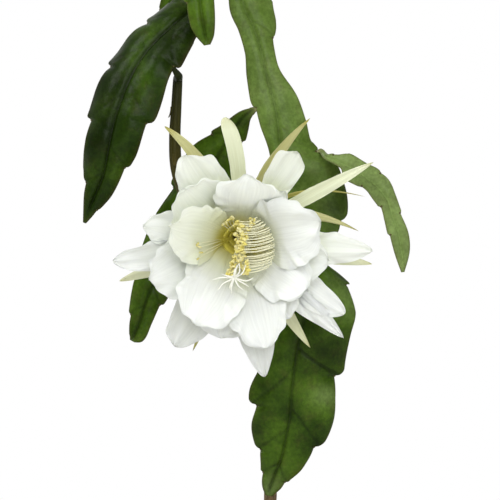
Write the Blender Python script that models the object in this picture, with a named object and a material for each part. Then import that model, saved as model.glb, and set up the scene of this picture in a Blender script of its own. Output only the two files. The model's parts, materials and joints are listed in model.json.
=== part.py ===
"""Potted queen of the night cactus (Epiphyllum oxypetalum).

A clay pot holds bark compost. Two woody canes rise from it and arch over, and from them hang
flat, leaf-like stems (cladodes) with notched margins. One open bloom hangs on its tube from a
notch in the left cladode. Metres, +Z up, origin at the centre of the pot's base, front at -Y.
"""

import math
import random

import bmesh
import bpy
import numpy as np
from mathutils import Vector, noise

MM = 0.001
TAU = 2 * math.pi
GAP = 0.0004
FRONT = Vector((0, -1, 0))
UP = Vector((0, 0, 1))

# Clay pot, turned round the Z axis.
POT_HEIGHT = 0.165
POT_FOOT_RADIUS = 0.060
POT_SHOULDER_RADIUS = 0.081
POT_RIM_RADIUS = 0.090
POT_RIM_HEIGHT = 0.034
POT_WALL = 0.007
POT_FLOOR = 0.009
POT_EDGE = 0.0022
POT_SEGMENTS = 36
DRAIN_RADIUS = 0.006
DRAIN_CIRCLE = 0.032

# Compost inside the pot.
SOIL_DROP = 0.014
SOIL_RELIEF = 0.0045
SOIL_SEGMENTS = 28
SOIL_RINGS = 5
CANE_ROOT_DEPTH = 0.070

# The plant is laid out as it is seen from the front, in millimetres across and up from the
# eye's line, and each place has its own depth. Sizes across are true at LAYOUT_DEPTH.
EYE = Vector((-0.013, -2.10, 0.375))
LAYOUT_DEPTH = -0.10

# The bloom's throat, and the way that it faces: a little right of the viewer and nodding.
THROAT = (-9, 9, -106)
FACING_RIGHT = math.radians(4)
NODDING = math.radians(12)

CLADODE_EDGE = 1.3 * MM
CLADODE_RIB = 3.4 * MM
PETAL_THICKNESS = 0.9 * MM

COLOURS = {
    "clay": ((0.55, 0.24, 0.13), 0.85),
    "compost": ((0.06, 0.035, 0.02), 0.95),
    "cane": ((0.14, 0.13, 0.05), 0.6),
    "cladode": ((0.06, 0.13, 0.02), 0.4),
    "tube": ((0.17, 0.13, 0.05), 0.5),
    "petal": ((0.88, 0.9, 0.84), 0.5),
    "tepal": ((0.62, 0.62, 0.33), 0.5),
    "stamen": ((0.85, 0.8, 0.45), 0.5),
    "style": ((0.9, 0.9, 0.82), 0.45),
}


def clear_scene():
    """Remove whatever the scene holds."""
    for item in list(bpy.data.objects):
        bpy.data.objects.remove(item)


def material(name):
    """The named finish as a Principled BSDF, made once."""
    if name in bpy.data.materials:
        return bpy.data.materials[name]
    colour, roughness = COLOURS[name]
    made = bpy.data.materials.new(name)
    made.use_nodes = True
    shader = made.node_tree.nodes["Principled BSDF"]
    shader.inputs["Base Color"].default_value = (*colour, 1)
    shader.inputs["Roughness"].default_value = roughness
    shader.inputs["Metallic"].default_value = 0
    return made


def add_object(name, mesh, finish):
    """Link a mesh to the scene as one named sub-part."""
    made = bpy.data.objects.new(name, mesh)
    made.data.materials.append(material(finish))
    bpy.context.scene.collection.objects.link(made)
    return made


def mesh_of(points, faces, name):
    """A mesh from points and faces, with its faces turned outwards."""
    mesh = bpy.data.meshes.new(name)
    mesh.from_pydata([tuple(p) for p in points], [], faces)
    shape = bmesh.new()
    shape.from_mesh(mesh)
    bmesh.ops.recalc_face_normals(shape, faces=shape.faces)
    bmesh.ops.triangulate(shape, faces=[f for f in shape.faces if len(f.verts) > 3])
    shape.to_mesh(mesh)
    shape.free()
    mesh.shade_smooth()
    mesh.set_sharp_from_angle(angle=math.radians(40))
    return mesh


def place(across, up, depth):
    """The point that is seen across and up from the eye's line, in mm, at this depth in mm."""
    y = depth * MM
    share = (y - EYE.y) / (LAYOUT_DEPTH - EYE.y)
    return Vector((EYE.x + across * MM * share, y, EYE.z + up * MM * share))


def between(table, t):
    """The value at t in a list of (t, value) pairs, eased from each pair to the next."""
    for (t0, v0), (t1, v1) in zip(table, table[1:]):
        if t <= t1:
            u = max(0, (t - t0) / (t1 - t0))
            u = u * u * (3 - 2 * u)
            return v0 + (v1 - v0) * u
    return table[-1][1]


def along(rows, t):
    """The values at t on the smooth curve through rows of numbers; t counts rows from 0."""
    t = min(max(t, 0), len(rows) - 1)
    i = min(int(t), len(rows) - 2)
    u = t - i
    p1, p2 = np.array(rows[i]), np.array(rows[i + 1])
    p0 = np.array(rows[i - 1]) if i else p1 * 2 - p2
    p3 = np.array(rows[i + 2]) if i + 2 < len(rows) else p2 * 2 - p1
    before, span, after = (np.linalg.norm(b - a) for a, b in ((p0, p1), (p1, p2), (p2, p3)))
    m1 = (p2 - p0) * span / (before + span)
    m2 = (p3 - p1) * span / (after + span)
    return (
        p1 * (2 * u**3 - 3 * u**2 + 1)
        + m1 * (u**3 - 2 * u**2 + u)
        + p2 * (3 * u**2 - 2 * u**3)
        + m2 * (u**3 - u**2)
    )


def heading_of(rows, t):
    """The direction of the curve's first three values at t."""
    step = 0.02
    return Vector((along(rows, t + step) - along(rows, t - step))[:3]).normalized()


def blade_mesh(name, rows):
    """A closed blade from rows of (front point, back point), split alike on both faces."""
    count = len(rows[0])
    points = [pair[0] for row in rows for pair in row] + [pair[1] for row in rows for pair in row]
    back = len(rows) * count
    faces = []
    for i in range(len(rows) - 1):
        for j in range(count - 1):
            a = i * count + j
            b, c, d = a + 1, a + count + 1, a + count
            for x, y, z in ((a, b, c), (a, c, d)):
                faces.append((x, y, z))
                faces.append((back + z, back + y, back + x))
    rim = [j for j in range(count)]
    rim += [i * count + count - 1 for i in range(1, len(rows))]
    rim += [(len(rows) - 1) * count + j for j in range(count - 2, -1, -1)]
    rim += [i * count for i in range(len(rows) - 2, 0, -1)]
    for a, b in zip(rim, rim[1:] + rim[:1]):
        faces.append((a, back + b, b))
        faces.append((a, back + a, back + b))
    return mesh_of(points, faces, name)


def tube_mesh(name, centres, radii, sides, start=None):
    """A closed round tube along the centres, with its own radius at each, carried without twist."""
    points, faces = [], []
    heading = (centres[1] - centres[0]).normalized()
    side = start or heading.orthogonal().normalized()
    for i, (centre, radius) in enumerate(zip(centres, radii)):
        ahead = centres[min(i + 1, len(centres) - 1)] - centres[max(i - 1, 0)]
        heading = ahead.normalized()
        side = (side - heading * side.dot(heading)).normalized()
        third = heading.cross(side)
        for k in range(sides):
            angle = TAU * k / sides
            points.append(centre + (side * math.cos(angle) + third * math.sin(angle)) * radius)
    for i in range(len(centres) - 1):
        for k in range(sides):
            a, b = i * sides + k, i * sides + (k + 1) % sides
            faces.append((a, b, b + sides, a + sides))
    faces.append(tuple(range(sides)))
    faces.append(tuple(len(points) - 1 - k for k in range(sides)))
    return mesh_of(points, faces, name)


def turned_mesh(name, profile, segments, to_world=lambda x, y, z: Vector((x, y, z))):
    """A solid of revolution from a closed profile of (radius, height); radius 0 is a pole."""
    points, rings, faces = [], [], []
    for radius, height in profile:
        if radius == 0:
            rings.append([len(points)] * segments)
            points.append(to_world(0, 0, height))
            continue
        rings.append(list(range(len(points), len(points) + segments)))
        for k in range(segments):
            angle = TAU * k / segments
            points.append(to_world(radius * math.cos(angle), radius * math.sin(angle), height))
    pairs = list(zip(rings, rings[1:]))
    if profile[0][0] and profile[-1][0]:
        pairs.append((rings[-1], rings[0]))
    for low, high in pairs:
        for k in range(segments):
            n = (k + 1) % segments
            corners = [low[k], low[n], high[n], high[k]]
            face = tuple(dict.fromkeys(corners))
            if len(face) > 2:
                faces.append(face)
    return mesh_of(points, faces, name)


def cut(target, cutters):
    """Take each cutter out of the target; the cutters stay as wire guides."""
    for cutter in cutters:
        step = target.modifiers.new("cut_" + cutter.name, "BOOLEAN")
        step.operation = "DIFFERENCE"
        step.object = cutter
        cutter.hide_render = True
        cutter.display_type = "WIRE"


def fuse(target, meshes):
    """Join the meshes to the target with one Boolean union, applied, so that they are one body."""
    group = bpy.data.collections.new(target.name + "_repeats")
    bpy.context.scene.collection.children.link(group)
    for mesh in meshes:
        group.objects.link(bpy.data.objects.new(mesh.name, mesh))
    step = target.modifiers.new("fuse", "BOOLEAN")
    step.operation = "UNION"
    step.operand_type = "COLLECTION"
    step.collection = group
    joined = bpy.data.meshes.new_from_object(
        target.evaluated_get(bpy.context.evaluated_depsgraph_get())
    )
    target.modifiers.clear()
    target.data = joined
    for item in list(group.objects):
        bpy.data.objects.remove(item)
    bpy.data.collections.remove(group)
    return target


# Pot and compost


def pot_inner_radius(z):
    """The inside radius of the pot's wall at a height."""
    share = (z - POT_FLOOR) / (POT_HEIGHT - POT_FLOOR)
    top = POT_RIM_RADIUS - POT_WALL - 2 * POT_EDGE
    return (POT_FOOT_RADIUS - POT_WALL) * (1 - share) + top * share


def add_pot():
    """A turned clay pot with a rolled rim and three drain holes."""
    rim_foot = POT_HEIGHT - POT_RIM_HEIGHT
    inner_top = pot_inner_radius(POT_HEIGHT)
    profile = [
        (0, 0),
        (POT_FOOT_RADIUS - POT_EDGE, 0),
        (POT_FOOT_RADIUS, POT_EDGE),
        (POT_SHOULDER_RADIUS, rim_foot - POT_EDGE),
        (POT_RIM_RADIUS - 2 * POT_EDGE, rim_foot),
        (POT_RIM_RADIUS - POT_EDGE, rim_foot + POT_EDGE),
        (POT_RIM_RADIUS, POT_HEIGHT - 2 * POT_EDGE),
        (POT_RIM_RADIUS - POT_EDGE, POT_HEIGHT),
        (inner_top + POT_EDGE / 2, POT_HEIGHT),
        (inner_top, POT_HEIGHT - POT_EDGE),
        (pot_inner_radius(POT_FLOOR), POT_FLOOR),
        (0, POT_FLOOR),
    ]
    pot = add_object("pot", turned_mesh("pot", profile, POT_SEGMENTS), "clay")
    drains = []
    for k in range(3):
        angle = TAU * (k + 0.25) / 3
        centre = Vector((math.cos(angle), math.sin(angle), 0)) * DRAIN_CIRCLE
        ends = [centre + Vector((0, 0, z)) for z in (-POT_FLOOR, 2 * POT_FLOOR)]
        mesh = tube_mesh(f"drain_{k}", ends, [DRAIN_RADIUS] * 2, 12)
        drains.append(add_object(f"drain_{k}", mesh, "clay"))
    cut(pot, drains)


def soil_height(x, y):
    """The compost's lumpy top, raised by noise and mounded a little towards the canes."""
    lumps = noise.noise(Vector((x, y, 0)) * 90) + 0.6 * noise.noise(Vector((y, x, 0.3)) * 210)
    mound = 0.006 * (1 - min(1, math.hypot(x, y) / 0.07) ** 2)
    return POT_HEIGHT - SOIL_DROP - 0.004 + mound + SOIL_RELIEF * lumps * 0.6


def add_soil(cane_sockets):
    """The compost: a plug that fills the pot, with a plain hole for each cane."""
    points, faces, rings = [], [], []
    base = POT_FLOOR + GAP
    edge = POT_HEIGHT - SOIL_DROP - 0.012
    points.append(Vector((0, 0, base)))
    for level in (base, edge):
        radius = pot_inner_radius(level) - 2 * GAP
        rings.append(list(range(len(points), len(points) + SOIL_SEGMENTS)))
        for k in range(SOIL_SEGMENTS):
            angle = TAU * k / SOIL_SEGMENTS
            points.append(Vector((math.cos(angle) * radius, math.sin(angle) * radius, level)))
    for i in range(SOIL_RINGS):
        radius = (pot_inner_radius(edge) - 2 * GAP) * (1 - i / SOIL_RINGS)
        rings.append(list(range(len(points), len(points) + SOIL_SEGMENTS)))
        for k in range(SOIL_SEGMENTS):
            angle = TAU * (k + 0.5 * (i % 2)) / SOIL_SEGMENTS
            x, y = math.cos(angle) * radius, math.sin(angle) * radius
            points.append(Vector((x, y, soil_height(x, y))))
    points.append(Vector((0, 0, soil_height(0, 0))))
    for low, high in zip(rings, rings[1:]):
        for k in range(SOIL_SEGMENTS):
            n = (k + 1) % SOIL_SEGMENTS
            faces.append((low[k], low[n], high[n], high[k]))
    for k in range(SOIL_SEGMENTS):
        n = (k + 1) % SOIL_SEGMENTS
        faces.append((0, rings[0][n], rings[0][k]))
        faces.append((rings[-1][k], rings[-1][n], len(points) - 1))
    soil = add_object("compost", mesh_of(points, faces, "compost"), "compost")
    cut(soil, cane_sockets)


# Canes: woody round stems. Each row is a place (across, up, depth) and a radius, in mm.


CANES = {
    "cane_front": [
        (14, -215, -2, 4.6), (14, -190, -4, 4.5), (15, -150, -6, 4.4), (20, -95, -8, 4.3),
        (24, -20, -8, 4.2), (24, 50, -8, 4.0), (14, 110, -8, 3.9), (5, 165, -8, 3.7),
        (0, 205, -8, 3.4), (-2, 222, -16, 3.0),
    ],
    "cane_back": [
        (14, -215, 16, 4.9), (14, -190, 15, 4.8), (15, -150, 13, 4.7), (20, -95, 12, 4.5),
        (25, -20, 11, 4.3), (25, 55, 10, 4.1), (13, 120, 9, 4.0), (1, 175, 8, 3.8),
        (-9, 212, 6, 3.5), (-16, 228, 0, 3.0),
    ],
}
CANE_SIDES = 8
CANE_RINGS = 26


def cane_rows(name):
    """The cane's rows in metres, from its root in the compost to its tip."""
    rows = [(*place(*row[:3]), row[3] * MM) for row in CANES[name]]
    x, y, _, radius = rows[0]
    low = POT_HEIGHT - SOIL_DROP - CANE_ROOT_DEPTH
    return [(x, y, low, radius), (x, y, POT_HEIGHT - SOIL_DROP + 0.008, radius)] + rows[1:]


def add_cane(name):
    """A woody cane: a tapering round stem, and the socket that it stands in."""
    rows = cane_rows(name)
    last = len(rows) - 1
    found = [along(rows, i * last / (CANE_RINGS - 1)) for i in range(CANE_RINGS)]
    centres = [Vector(row[:3]) for row in found]
    radii = [row[3] * (1 + 0.04 * math.sin(i * 2.4)) for i, row in enumerate(found)]
    add_object(name, tube_mesh(name, centres, radii, CANE_SIDES), "cane")
    root, lift = Vector(rows[0][:3]), Vector((0, 0, 1))
    ends = [root - lift * GAP, root + lift * CANE_ROOT_DEPTH * 2]
    mesh = tube_mesh(name + "_socket", ends, [rows[0][3] * 1.04 + 2 * GAP] * 2, 12)
    return add_object(name + "_socket", mesh, "compost")


# Cladodes: flat leaf-like stems. Each row is a place on the midrib (across, up, depth) and the
# blade's width to its left and its right there, in mm. Notches are counted in rows, and so are
# the places where the way that the face looks is given.


CLADODES = {
    "cladode_left": {
        "from_cane": ("cane_back", 10),
        "rows": [
            (-27, 220, -34, 2.6, 2.6), (-35, 196, -54, 12, 10), (-41, 170, -66, 20, 16),
            (-54, 157, -71, 22, 19), (-72, 139, -76, 22.5, 26.5), (-84, 119, -80, 24, 26),
            (-94, 92, -83, 22.5, 24.5), (-99, 70, -83, 19.5, 19.5), (-102.5, 52, -81, 16.5, 14),
            (-109, 37, -79, 8.5, 10), (-116, 19, -77, 0.8, 0.8),
        ],
        "left": [3.3, 5.35, 6.8, 8.2, 10.6],
        "right": [3.2, 5.9, 8.5, 10.1],
        "faces": [(0, (-0.2, -0.5, 1)), (4, (-0.4, -1, 0.5)), (12, (-0.15, -1, 0))],
        "bulge": 0.10,
        "fold": 0.20,
    },
    "cladode_tongue": {
        "from_cane": ("cane_back", 9.2),
        "rows": [
            (-18, 229, -38, 2.2, 2.2), (-30, 222, -66, 6, 6), (-35, 200, -86, 10, 10),
            (-35, 178, -96, 11, 10.5), (-33, 160, -99, 9.5, 8.5), (-31, 150, -99, 6, 5.5),
            (-30, 143.5, -99, 1.8, 1.8),
        ],
        "left": [3.6, 5.2],
        "right": [3.1, 4.7],
        "faces": [(0, (0, -0.3, 1)), (3, (-0.1, -1, 0.5)), (8, (-0.1, -1, 0))],
        "bulge": 0.08,
        "fold": 0.15,
    },
    "cladode_right": {
        "from_cane": ("cane_front", 10),
        "rows": [
            (-5, 216, -40, 3, 3), (-7, 195, -52, 8, 11), (-4.5, 171, -57, 11, 21),
            (2, 157, -60, 11, 17), (7.5, 140, -62, 11, 11), (11, 124.5, -64, 13, 10.5),
            (16.5, 104, -66, 15, 17.5), (19.5, 88, -67, 13, 20), (22, 70, -68, 8.5, 21.5),
            (29, 50, -68, 14, 29), (38, 31.5, -67, 18, 31), (43.5, 15.5, -66, 16, 25),
            (46, 5, -65, 11, 13), (47.5, -3, -64, 1.6, 1.6),
        ],
        "left": [3.4, 8.1, 12.2],
        "right": [5.2, 10.4, 13.1],
        "faces": [(0, (0, -0.3, 1)), (3, (0.1, -1, 0.2)), (15, (0.05, -1, 0))],
        "bulge": 0.06,
        "fold": 0.12,
    },
    "cladode_low": {
        "from_tip": "cladode_right",
        "rows": [
            (48, -9, -63, 3, 4), (46, -20, -64, 14, 22), (42, -34, -66, 20, 37),
            (37.5, -52, -67, 22, 35), (33, -70, -67, 19, 35), (30.5, -87, -66, 24.5, 34.5),
            (29, -101.5, -65, 28.5, 33), (28, -115.5, -64, 27, 31.5),
            (25.5, -129.5, -62, 25, 27), (22, -145.5, -60, 17.5, 18), (17.5, -157, -59, 10.5, 11),
            (14.5, -165.5, -58, 6.5, 7), (13, -172, -58, 2.2, 2.2),
        ],
        "left": [3.0, 5.3, 8.6, 10.9, 12.2],
        "right": [2.9, 6.9, 10.3, 12.3],
        "faces": [(0, (0.1, -1, 0)), (7, (0.1, -1, 0.1)), (14, (-0.1, -1, 0))],
        "bulge": 0.10,
        "fold": 0.14,
    },
    "cladode_middle": {
        "from_notch": ("cladode_right", "left", 8.1),
        "rows": [
            (-5, 92.5, -58, 5, 6), (-13, 81, -50, 9.5, 10.5), (-24, 63, -43, 20, 16),
            (-38, 36, -40, 21, 19), (-50.5, 8, -40, 23, 19), (-63, -15.5, -42, 18, 14),
            (-71.5, -33.5, -44, 13, 11.5), (-76.5, -49, -45, 9, 8.5), (-81, -60, -46, 4, 7),
            (-83, -63.5, -46, 1, 2),
        ],
        "left": [3.4, 5.0, 7.0, 8.9],
        "right": [3.0, 4.6, 6.2, 8.1],
        "faces": [(0, (0, -1, 0)), (11, (-0.2, -1, 0.1))],
        "bulge": 0.08,
        "fold": 0.15,
    },
    "cladode_side": {
        "from_notch": ("cladode_right", "right", 10.4),
        "rows": [
            (53, 66, -75, 1.6, 1.6), (61, 62.5, -77, 4, 1.8), (68.5, 59, -77, 6, 8.5),
            (77.5, 53, -76, 8.5, 9), (88, 45, -73, 8.7, 10.5), (96, 35, -73, 7.8, 6.8),
            (100, 23, -72, 6.5, 6.5), (104.5, 10, -71, 7.3, 6.5), (106, -2, -70, 4.6, 5.4),
            (107, -15.5, -69, 0.7, 0.7),
        ],
        "left": [5.3, 7.2, 8.8],
        "right": [2.6, 5.8, 7.9],
        "faces": [(0, (0.1, -1, 0.3)), (5, (0.3, -1, 0.3)), (11, (0.1, -1, 0))],
        "bulge": 0.08,
        "fold": -0.12,
    },
    "cladode_back_long": {
        "from_cane": ("cane_back", 8.1),
        "rows": [
            (4, 190, 34, 2.6, 2.6), (7, 188, 58, 9, 9), (10, 166, 84, 17, 17),
            (13, 130, 96, 21, 22), (19, 92, 100, 20, 21), (24, 56, 96, 15, 15),
            (25, 30, 90, 8, 9), (25, 16, 86, 0.8, 0.8),
        ],
        "left": [3.2, 4.4, 5.5, 6.6],
        "right": [2.7, 3.8, 5.0, 6.1, 7.2],
        "faces": [(0, (1, 0.2, 0.4)), (3, (1, 0, 0.05)), (9, (1, 0.3, 0))],
        "bulge": 0.08,
        "fold": 0.12,
    },
    "cladode_back_low": {
        "from_cane": ("cane_back", 5.2),
        "rows": [
            (16, 14, 38, 2.4, 2.4), (9, 10, 58, 11, 11), (2, -4, 78, 16, 17),
            (-5, -24, 92, 16, 16), (-9, -44, 98, 9, 9), (-11, -58, 100, 0.8, 0.8),
        ],
        "left": [2.8, 4.0, 5.2],
        "right": [3.4, 4.6, 5.8],
        "faces": [(0, (0.3, 0.2, 1)), (4, (0, 1, 0.6)), (7, (0, 1, 0.1))],
        "bulge": 0.08,
        "fold": 0.14,
    },
    "cladode_crown_right": {
        "from_cane": ("cane_front", 9.0),
        "rows": [
            (16, 222, 6, 2.6, 2.6), (32, 236, 18, 9, 9), (52, 243, 30, 15, 16),
            (72, 236, 40, 17, 18), (86, 218, 46, 13, 13), (93, 202, 48, 8, 7.5),
            (96, 190, 48, 0.8, 0.8),
        ],
        "left": [3.0, 4.2, 5.3, 6.4],
        "right": [2.6, 3.7, 4.8, 5.8],
        "faces": [(0, (-0.2, -0.3, 1)), (4, (0.3, -0.4, 1)), (8, (1, -0.6, 0.3))],
        "bulge": 0.08,
        "fold": 0.16,
    },
    "cladode_back_left": {
        "from_cane": ("cane_back", 8.9),
        "rows": [
            (-28, 226, 20, 2.6, 2.6), (-38, 230, 36, 8, 8), (-46, 214, 52, 13, 13),
            (-54, 184, 62, 13, 13), (-64, 150, 66, 14, 13), (-80, 114, 68, 16, 15),
            (-92, 86, 67, 14, 13), (-99, 62, 64, 8, 8), (-103, 50, 61, 0.8, 0.8),
        ],
        "left": [2.8, 3.9, 5.0, 6.1, 7.2, 8.3],
        "right": [3.3, 4.4, 5.5, 6.7, 7.8],
        "faces": [(0, (0.2, -0.1, 1)), (4, (0.2, 1, 0.8)), (8, (0.3, 1, 0.1))],
        "bulge": 0.08,
        "fold": 0.14,
    },
    "cladode_young": {
        "from_cane": ("cane_front", 9.55),
        "rows": [
            (12, 218, -20, 2.2, 2.2), (14, 240, -14, 5, 5), (16, 262, -6, 8.5, 8.5),
            (20, 284, 6, 8, 8.5), (25, 300, 18, 4, 4), (28, 308, 25, 0.8, 0.8),
        ],
        "left": [3.2, 4.8],
        "right": [2.7, 4.1, 5.4],
        "faces": [(0, (0.3, -1, 0.1)), (7, (0.5, -1, 0.3))],
        "bulge": 0.06,
        "fold": 0.14,
    },
}
CLADODE_STEP = 0.8
CLADODE_COLUMNS = (-1, -0.55, 0, 0.55, 1)
NOTCH_DEPTH = 0.2
NOTCH_STEP = 0.16


def lobe_phase(t, notches, last):
    """How far t lies through its lobe: 0 just after a notch, 1 at the next one."""
    marks = [1.2] + notches + [last + 0.3]
    for a, b in zip(marks, marks[1:]):
        if a <= t < b:
            return (t - a) / (b - a)
    return 0.5


def lobe_share(t, notches, last):
    """The share of the blade's width that its lobes leave at t."""
    u = lobe_phase(t, notches, last)
    return 1.06 - NOTCH_DEPTH * (1 - u) ** 2 if t > 1.2 else 1


def facing(table, t):
    """The way that a blade's face looks at t."""
    parts = [between([(at, v[k]) for at, v in table], t) for k in range(3)]
    return Vector(parts).normalized()


def cladode_point(spec, t, v):
    """The middle of the blade and its normal at t along and v across (-1 left, 1 right)."""
    rows = spec["path"]
    x, y, z, left, right = along(rows, t)
    heading = heading_of(rows, t)
    side = facing(spec["faces"], t).cross(heading).normalized()
    normal = heading.cross(side).normalized()
    notches = spec["right"] if v > 0 else spec["left"]
    half = max(right if v > 0 else left, 0.4 * MM)
    last = len(rows) - 1
    share = 1 + (lobe_share(t, notches, last) - 1) * abs(v)
    wave = 0.10 * math.sin(TAU * lobe_phase(t, notches, last)) * abs(v) ** 3
    lift = spec["bulge"] * math.sin(math.pi * abs(v)) - spec["fold"] * v * v + wave
    return Vector((x, y, z)) + side * half * share * v + normal * half * lift, normal


def cladode_stations(spec):
    """Even stations along the blade, and two at each notch so that it stays sharp."""
    last = len(spec["path"]) - 1
    sharp = [0.0, float(last)]
    for notch in spec["left"] + spec["right"]:
        sharp += [notch - NOTCH_STEP, notch]
    found = sorted(sharp)
    even = [i * CLADODE_STEP for i in range(1, int(last / CLADODE_STEP) + 1)]
    found += [t for t in even if min(abs(t - s) for s in sharp) > 0.3 * CLADODE_STEP]
    kept = [0.0]
    for t in sorted(found):
        if t - kept[-1] > 0.07:
            kept.append(t)
    kept[-1] = float(last)
    return kept


def cladode_mesh(name, spec):
    """A notched blade, thick at its midrib and thin at its margins."""
    rows = []
    last = len(spec["path"]) - 1
    for t in cladode_stations(spec):
        rib = between([(0, 2.2), (2, CLADODE_RIB / MM), (last - 2, 2.6), (last, 1.4)], t) * MM
        row = []
        for v in CLADODE_COLUMNS:
            point, normal = cladode_point(spec, t, v)
            thick = CLADODE_EDGE + (rib - CLADODE_EDGE) * (1 - abs(v)) ** 2
            row.append((point + normal * thick / 2, point - normal * thick / 2))
        rows.append(row)
    return blade_mesh(name, rows)


def margin_start(parent, side, t, lean):
    """The place just outside a blade's margin and the way out of it, leaning forward or back."""
    v = -1 if side == "left" else 1
    edge, normal = cladode_point(CLADODES[parent], t, v)
    inner, _ = cladode_point(CLADODES[parent], t, v * 0.9)
    out = (edge - inner).normalized()
    return edge + out * 2 * GAP, (out + normal * lean).normalized()


def prepare_cladodes():
    """Turn each blade's rows into metres, starting where it grows from its parent."""
    for spec in CLADODES.values():
        rows = [(*place(*row[:3]), row[3] * MM, row[4] * MM) for row in spec["rows"]]
        first = Vector(rows[0][:3])
        if "from_cane" in spec:
            name, t = spec["from_cane"]
            cane = cane_rows(name)
            found = along(cane, t)
            skin, heading = Vector(found[:3]), heading_of(cane, t)
            out = heading
            if t < len(cane) - 1:
                out = first - skin
                out = (out - heading * out.dot(heading)).normalized()
                skin += out * (found[3] - GAP)
            start = skin + out * 2 * GAP
        elif "from_tip" in spec:
            start = Vector(CLADODES[spec["from_tip"]]["path"][-1][:3])
            out = (first - start).normalized()
            start += out * 3 * GAP
        else:
            parent, side, t = spec["from_notch"]
            start, out = margin_start(parent, side, t + 0.08, 0.35)
        near = start + out * min(6 * MM, (first - start).length * 0.4)
        foot = 1.0 * MM if "from_notch" in spec else 1.8 * MM
        spec["path"] = [(*start, foot, foot), (*near, 1.8 * MM, 1.8 * MM)] + rows


def add_cladodes():
    """One node for each cladode."""
    for name, spec in CLADODES.items():
        add_object(name, cladode_mesh(name, spec), "cladode")


# The bloom, in its own frame: along its axis (h), and out from it (r) at a clock angle that
# is 0 at the top and grows to the right as it is seen from the front.


FORWARD = Vector(
    (
        math.sin(FACING_RIGHT) * math.cos(NODDING),
        -math.cos(FACING_RIGHT) * math.cos(NODDING),
        -math.sin(NODDING),
    )
)
RIGHT = UP.cross(FORWARD).normalized()
BLOOM_UP = FORWARD.cross(RIGHT).normalized()
ORIGIN = place(*THROAT)


def in_bloom(x, y, h):
    """A point given right, up and forward from the throat, in metres."""
    return ORIGIN + RIGHT * x + BLOOM_UP * y + FORWARD * h


# Each row: clock angle, length, half-width, opening at the foot and at the tip in degrees,
# cupping (0 flat to 1 deep) and how pointed the tip is. Lengths in mm.
INNER_PETALS = [
    (-72, 72, 26, 24, 48, 0.9, 0.0),
    (2, 66, 29, 24, 44, 0.9, 0.0),
    (68, 74, 27, 25, 50, 0.9, 0.0),
    (120, 76, 22, 26, 60, 0.7, 0.1),
    (165, 84, 22, 28, 68, 0.5, 0.0),
    (-142, 80, 25, 26, 62, 0.6, 0.0),
]
SECOND_PETALS = [
    (-32, 74, 25, 31, 54, 0.8, 0.0),
    (34, 72, 24, 31, 54, 0.8, 0.0),
    (96, 70, 21, 31, 62, 0.7, 0.1),
    (142, 80, 21, 32, 66, 0.6, 0.1),
    (-168, 84, 22, 34, 74, 0.5, 0.0),
    (-108, 74, 24, 32, 66, 0.6, 0.0),
]
MIDDLE_PETALS = [
    (-33, 86, 16, 40, 72, 0.7, 0.0),
    (27, 84, 13, 40, 76, 0.9, 0.0),
    (93, 100, 12, 40, 88, 0.4, 0.4),
    (126, 95, 12, 40, 86, 0.5, 0.5),
    (133, 101, 9, 42, 86, 0.5, 0.7),
    (168, 96, 14, 40, 84, 0.5, 0.5),
    (-150, 84, 15, 40, 86, 0.3, 0.0),
    (-98, 92, 12, 40, 86, 0.5, 0.4),
    (-75, 72, 14, 40, 80, 0.5, 0.2),
]
OUTER_TEPALS = [
    (-33, 94, 5.0, 56, 92, 0.8, 0.7),
    (-8, 84, 7.0, 54, 84, 0.8, 0.1),
    (28, 98, 5.0, 54, 90, 0.8, 0.7),
    (60, 106, 5.4, 56, 90, 0.8, 0.7),
    (68, 88, 1.8, 64, 96, 0.4, 0.9),
    (85, 80, 4.2, 58, 98, 0.6, 0.8),
    (100, 96, 5.4, 58, 94, 0.5, 0.7),
    (146, 88, 5.0, 56, 94, 0.8, 0.8),
    (-159, 80, 3.2, 58, 96, 0.5, 0.9),
    (-109, 82, 5.4, 56, 92, 0.6, 0.6),
]
PETAL_FOOT = {"inner": (7.0, 2.5), "second": (7.8, 3.0), "middle": (8.8, 4.0), "outer": (10.2, -4.0)}
INNER_COLUMNS = (-1, -0.5, 0, 0.5, 1)
PETAL_COLUMNS = (-1, -0.35, 0.35, 1)


def tepal_width(s, half, pointed):
    """The half-width at s along a tepal: a narrow foot, a broad body and a round or keen tip."""
    foot = min(1, 3.6 / half)
    foot += (1 - foot) * math.sin(min(1, s / 0.62) * math.pi / 2) ** 1.4
    past = max(0, (s - 0.55) / 0.45)
    tip = math.sqrt(max(0, 1 - past**2.6)) * (1 - pointed) + (1 - past**1.5) * pointed
    return half * foot * max(tip, 0.06)


def tepal_line(spec, foot, steps):
    """The radius, height and lean along the middle of a tepal, from its foot to its tip."""
    _, length, _, open_foot, open_tip, _, _ = spec
    radius, height = foot
    line = [(radius, height, math.radians(open_foot))]
    for k in range(1, steps + 1):
        lean = math.radians(open_foot + (open_tip - open_foot) * (k / steps) ** 0.75)
        radius += math.sin(lean) * length / steps
        height += math.cos(lean) * length / steps
        line.append((radius, height, lean))
    return line


def tepal_point(spec, line, s, v):
    """The middle of a tepal and its normal at s along and v across."""
    clock, _, half, _, _, cup, pointed = spec
    angle = math.radians(clock)
    across = Vector((math.cos(angle), -math.sin(angle)))
    out = Vector((math.sin(angle), math.cos(angle)))
    radius, height, lean = line[round(s * (len(line) - 1))]
    width = tepal_width(s, half, pointed)
    bend = max(radius * 1.05, half * (2.6 - 1.5 * cup) * (0.6 + s))
    turn = v * width / bend
    side, rise = bend * math.sin(turn), bend * (1 - math.cos(turn))
    place_out = out * (radius - rise * math.cos(lean)) + across * side
    point = in_bloom(place_out.x * MM, place_out.y * MM, (height + rise * math.sin(lean)) * MM)
    tilt = out * -math.cos(lean) * math.cos(turn) - across * math.sin(turn)
    normal = RIGHT * tilt.x + BLOOM_UP * tilt.y + FORWARD * math.sin(lean) * math.cos(turn)
    return point, normal.normalized()


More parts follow.
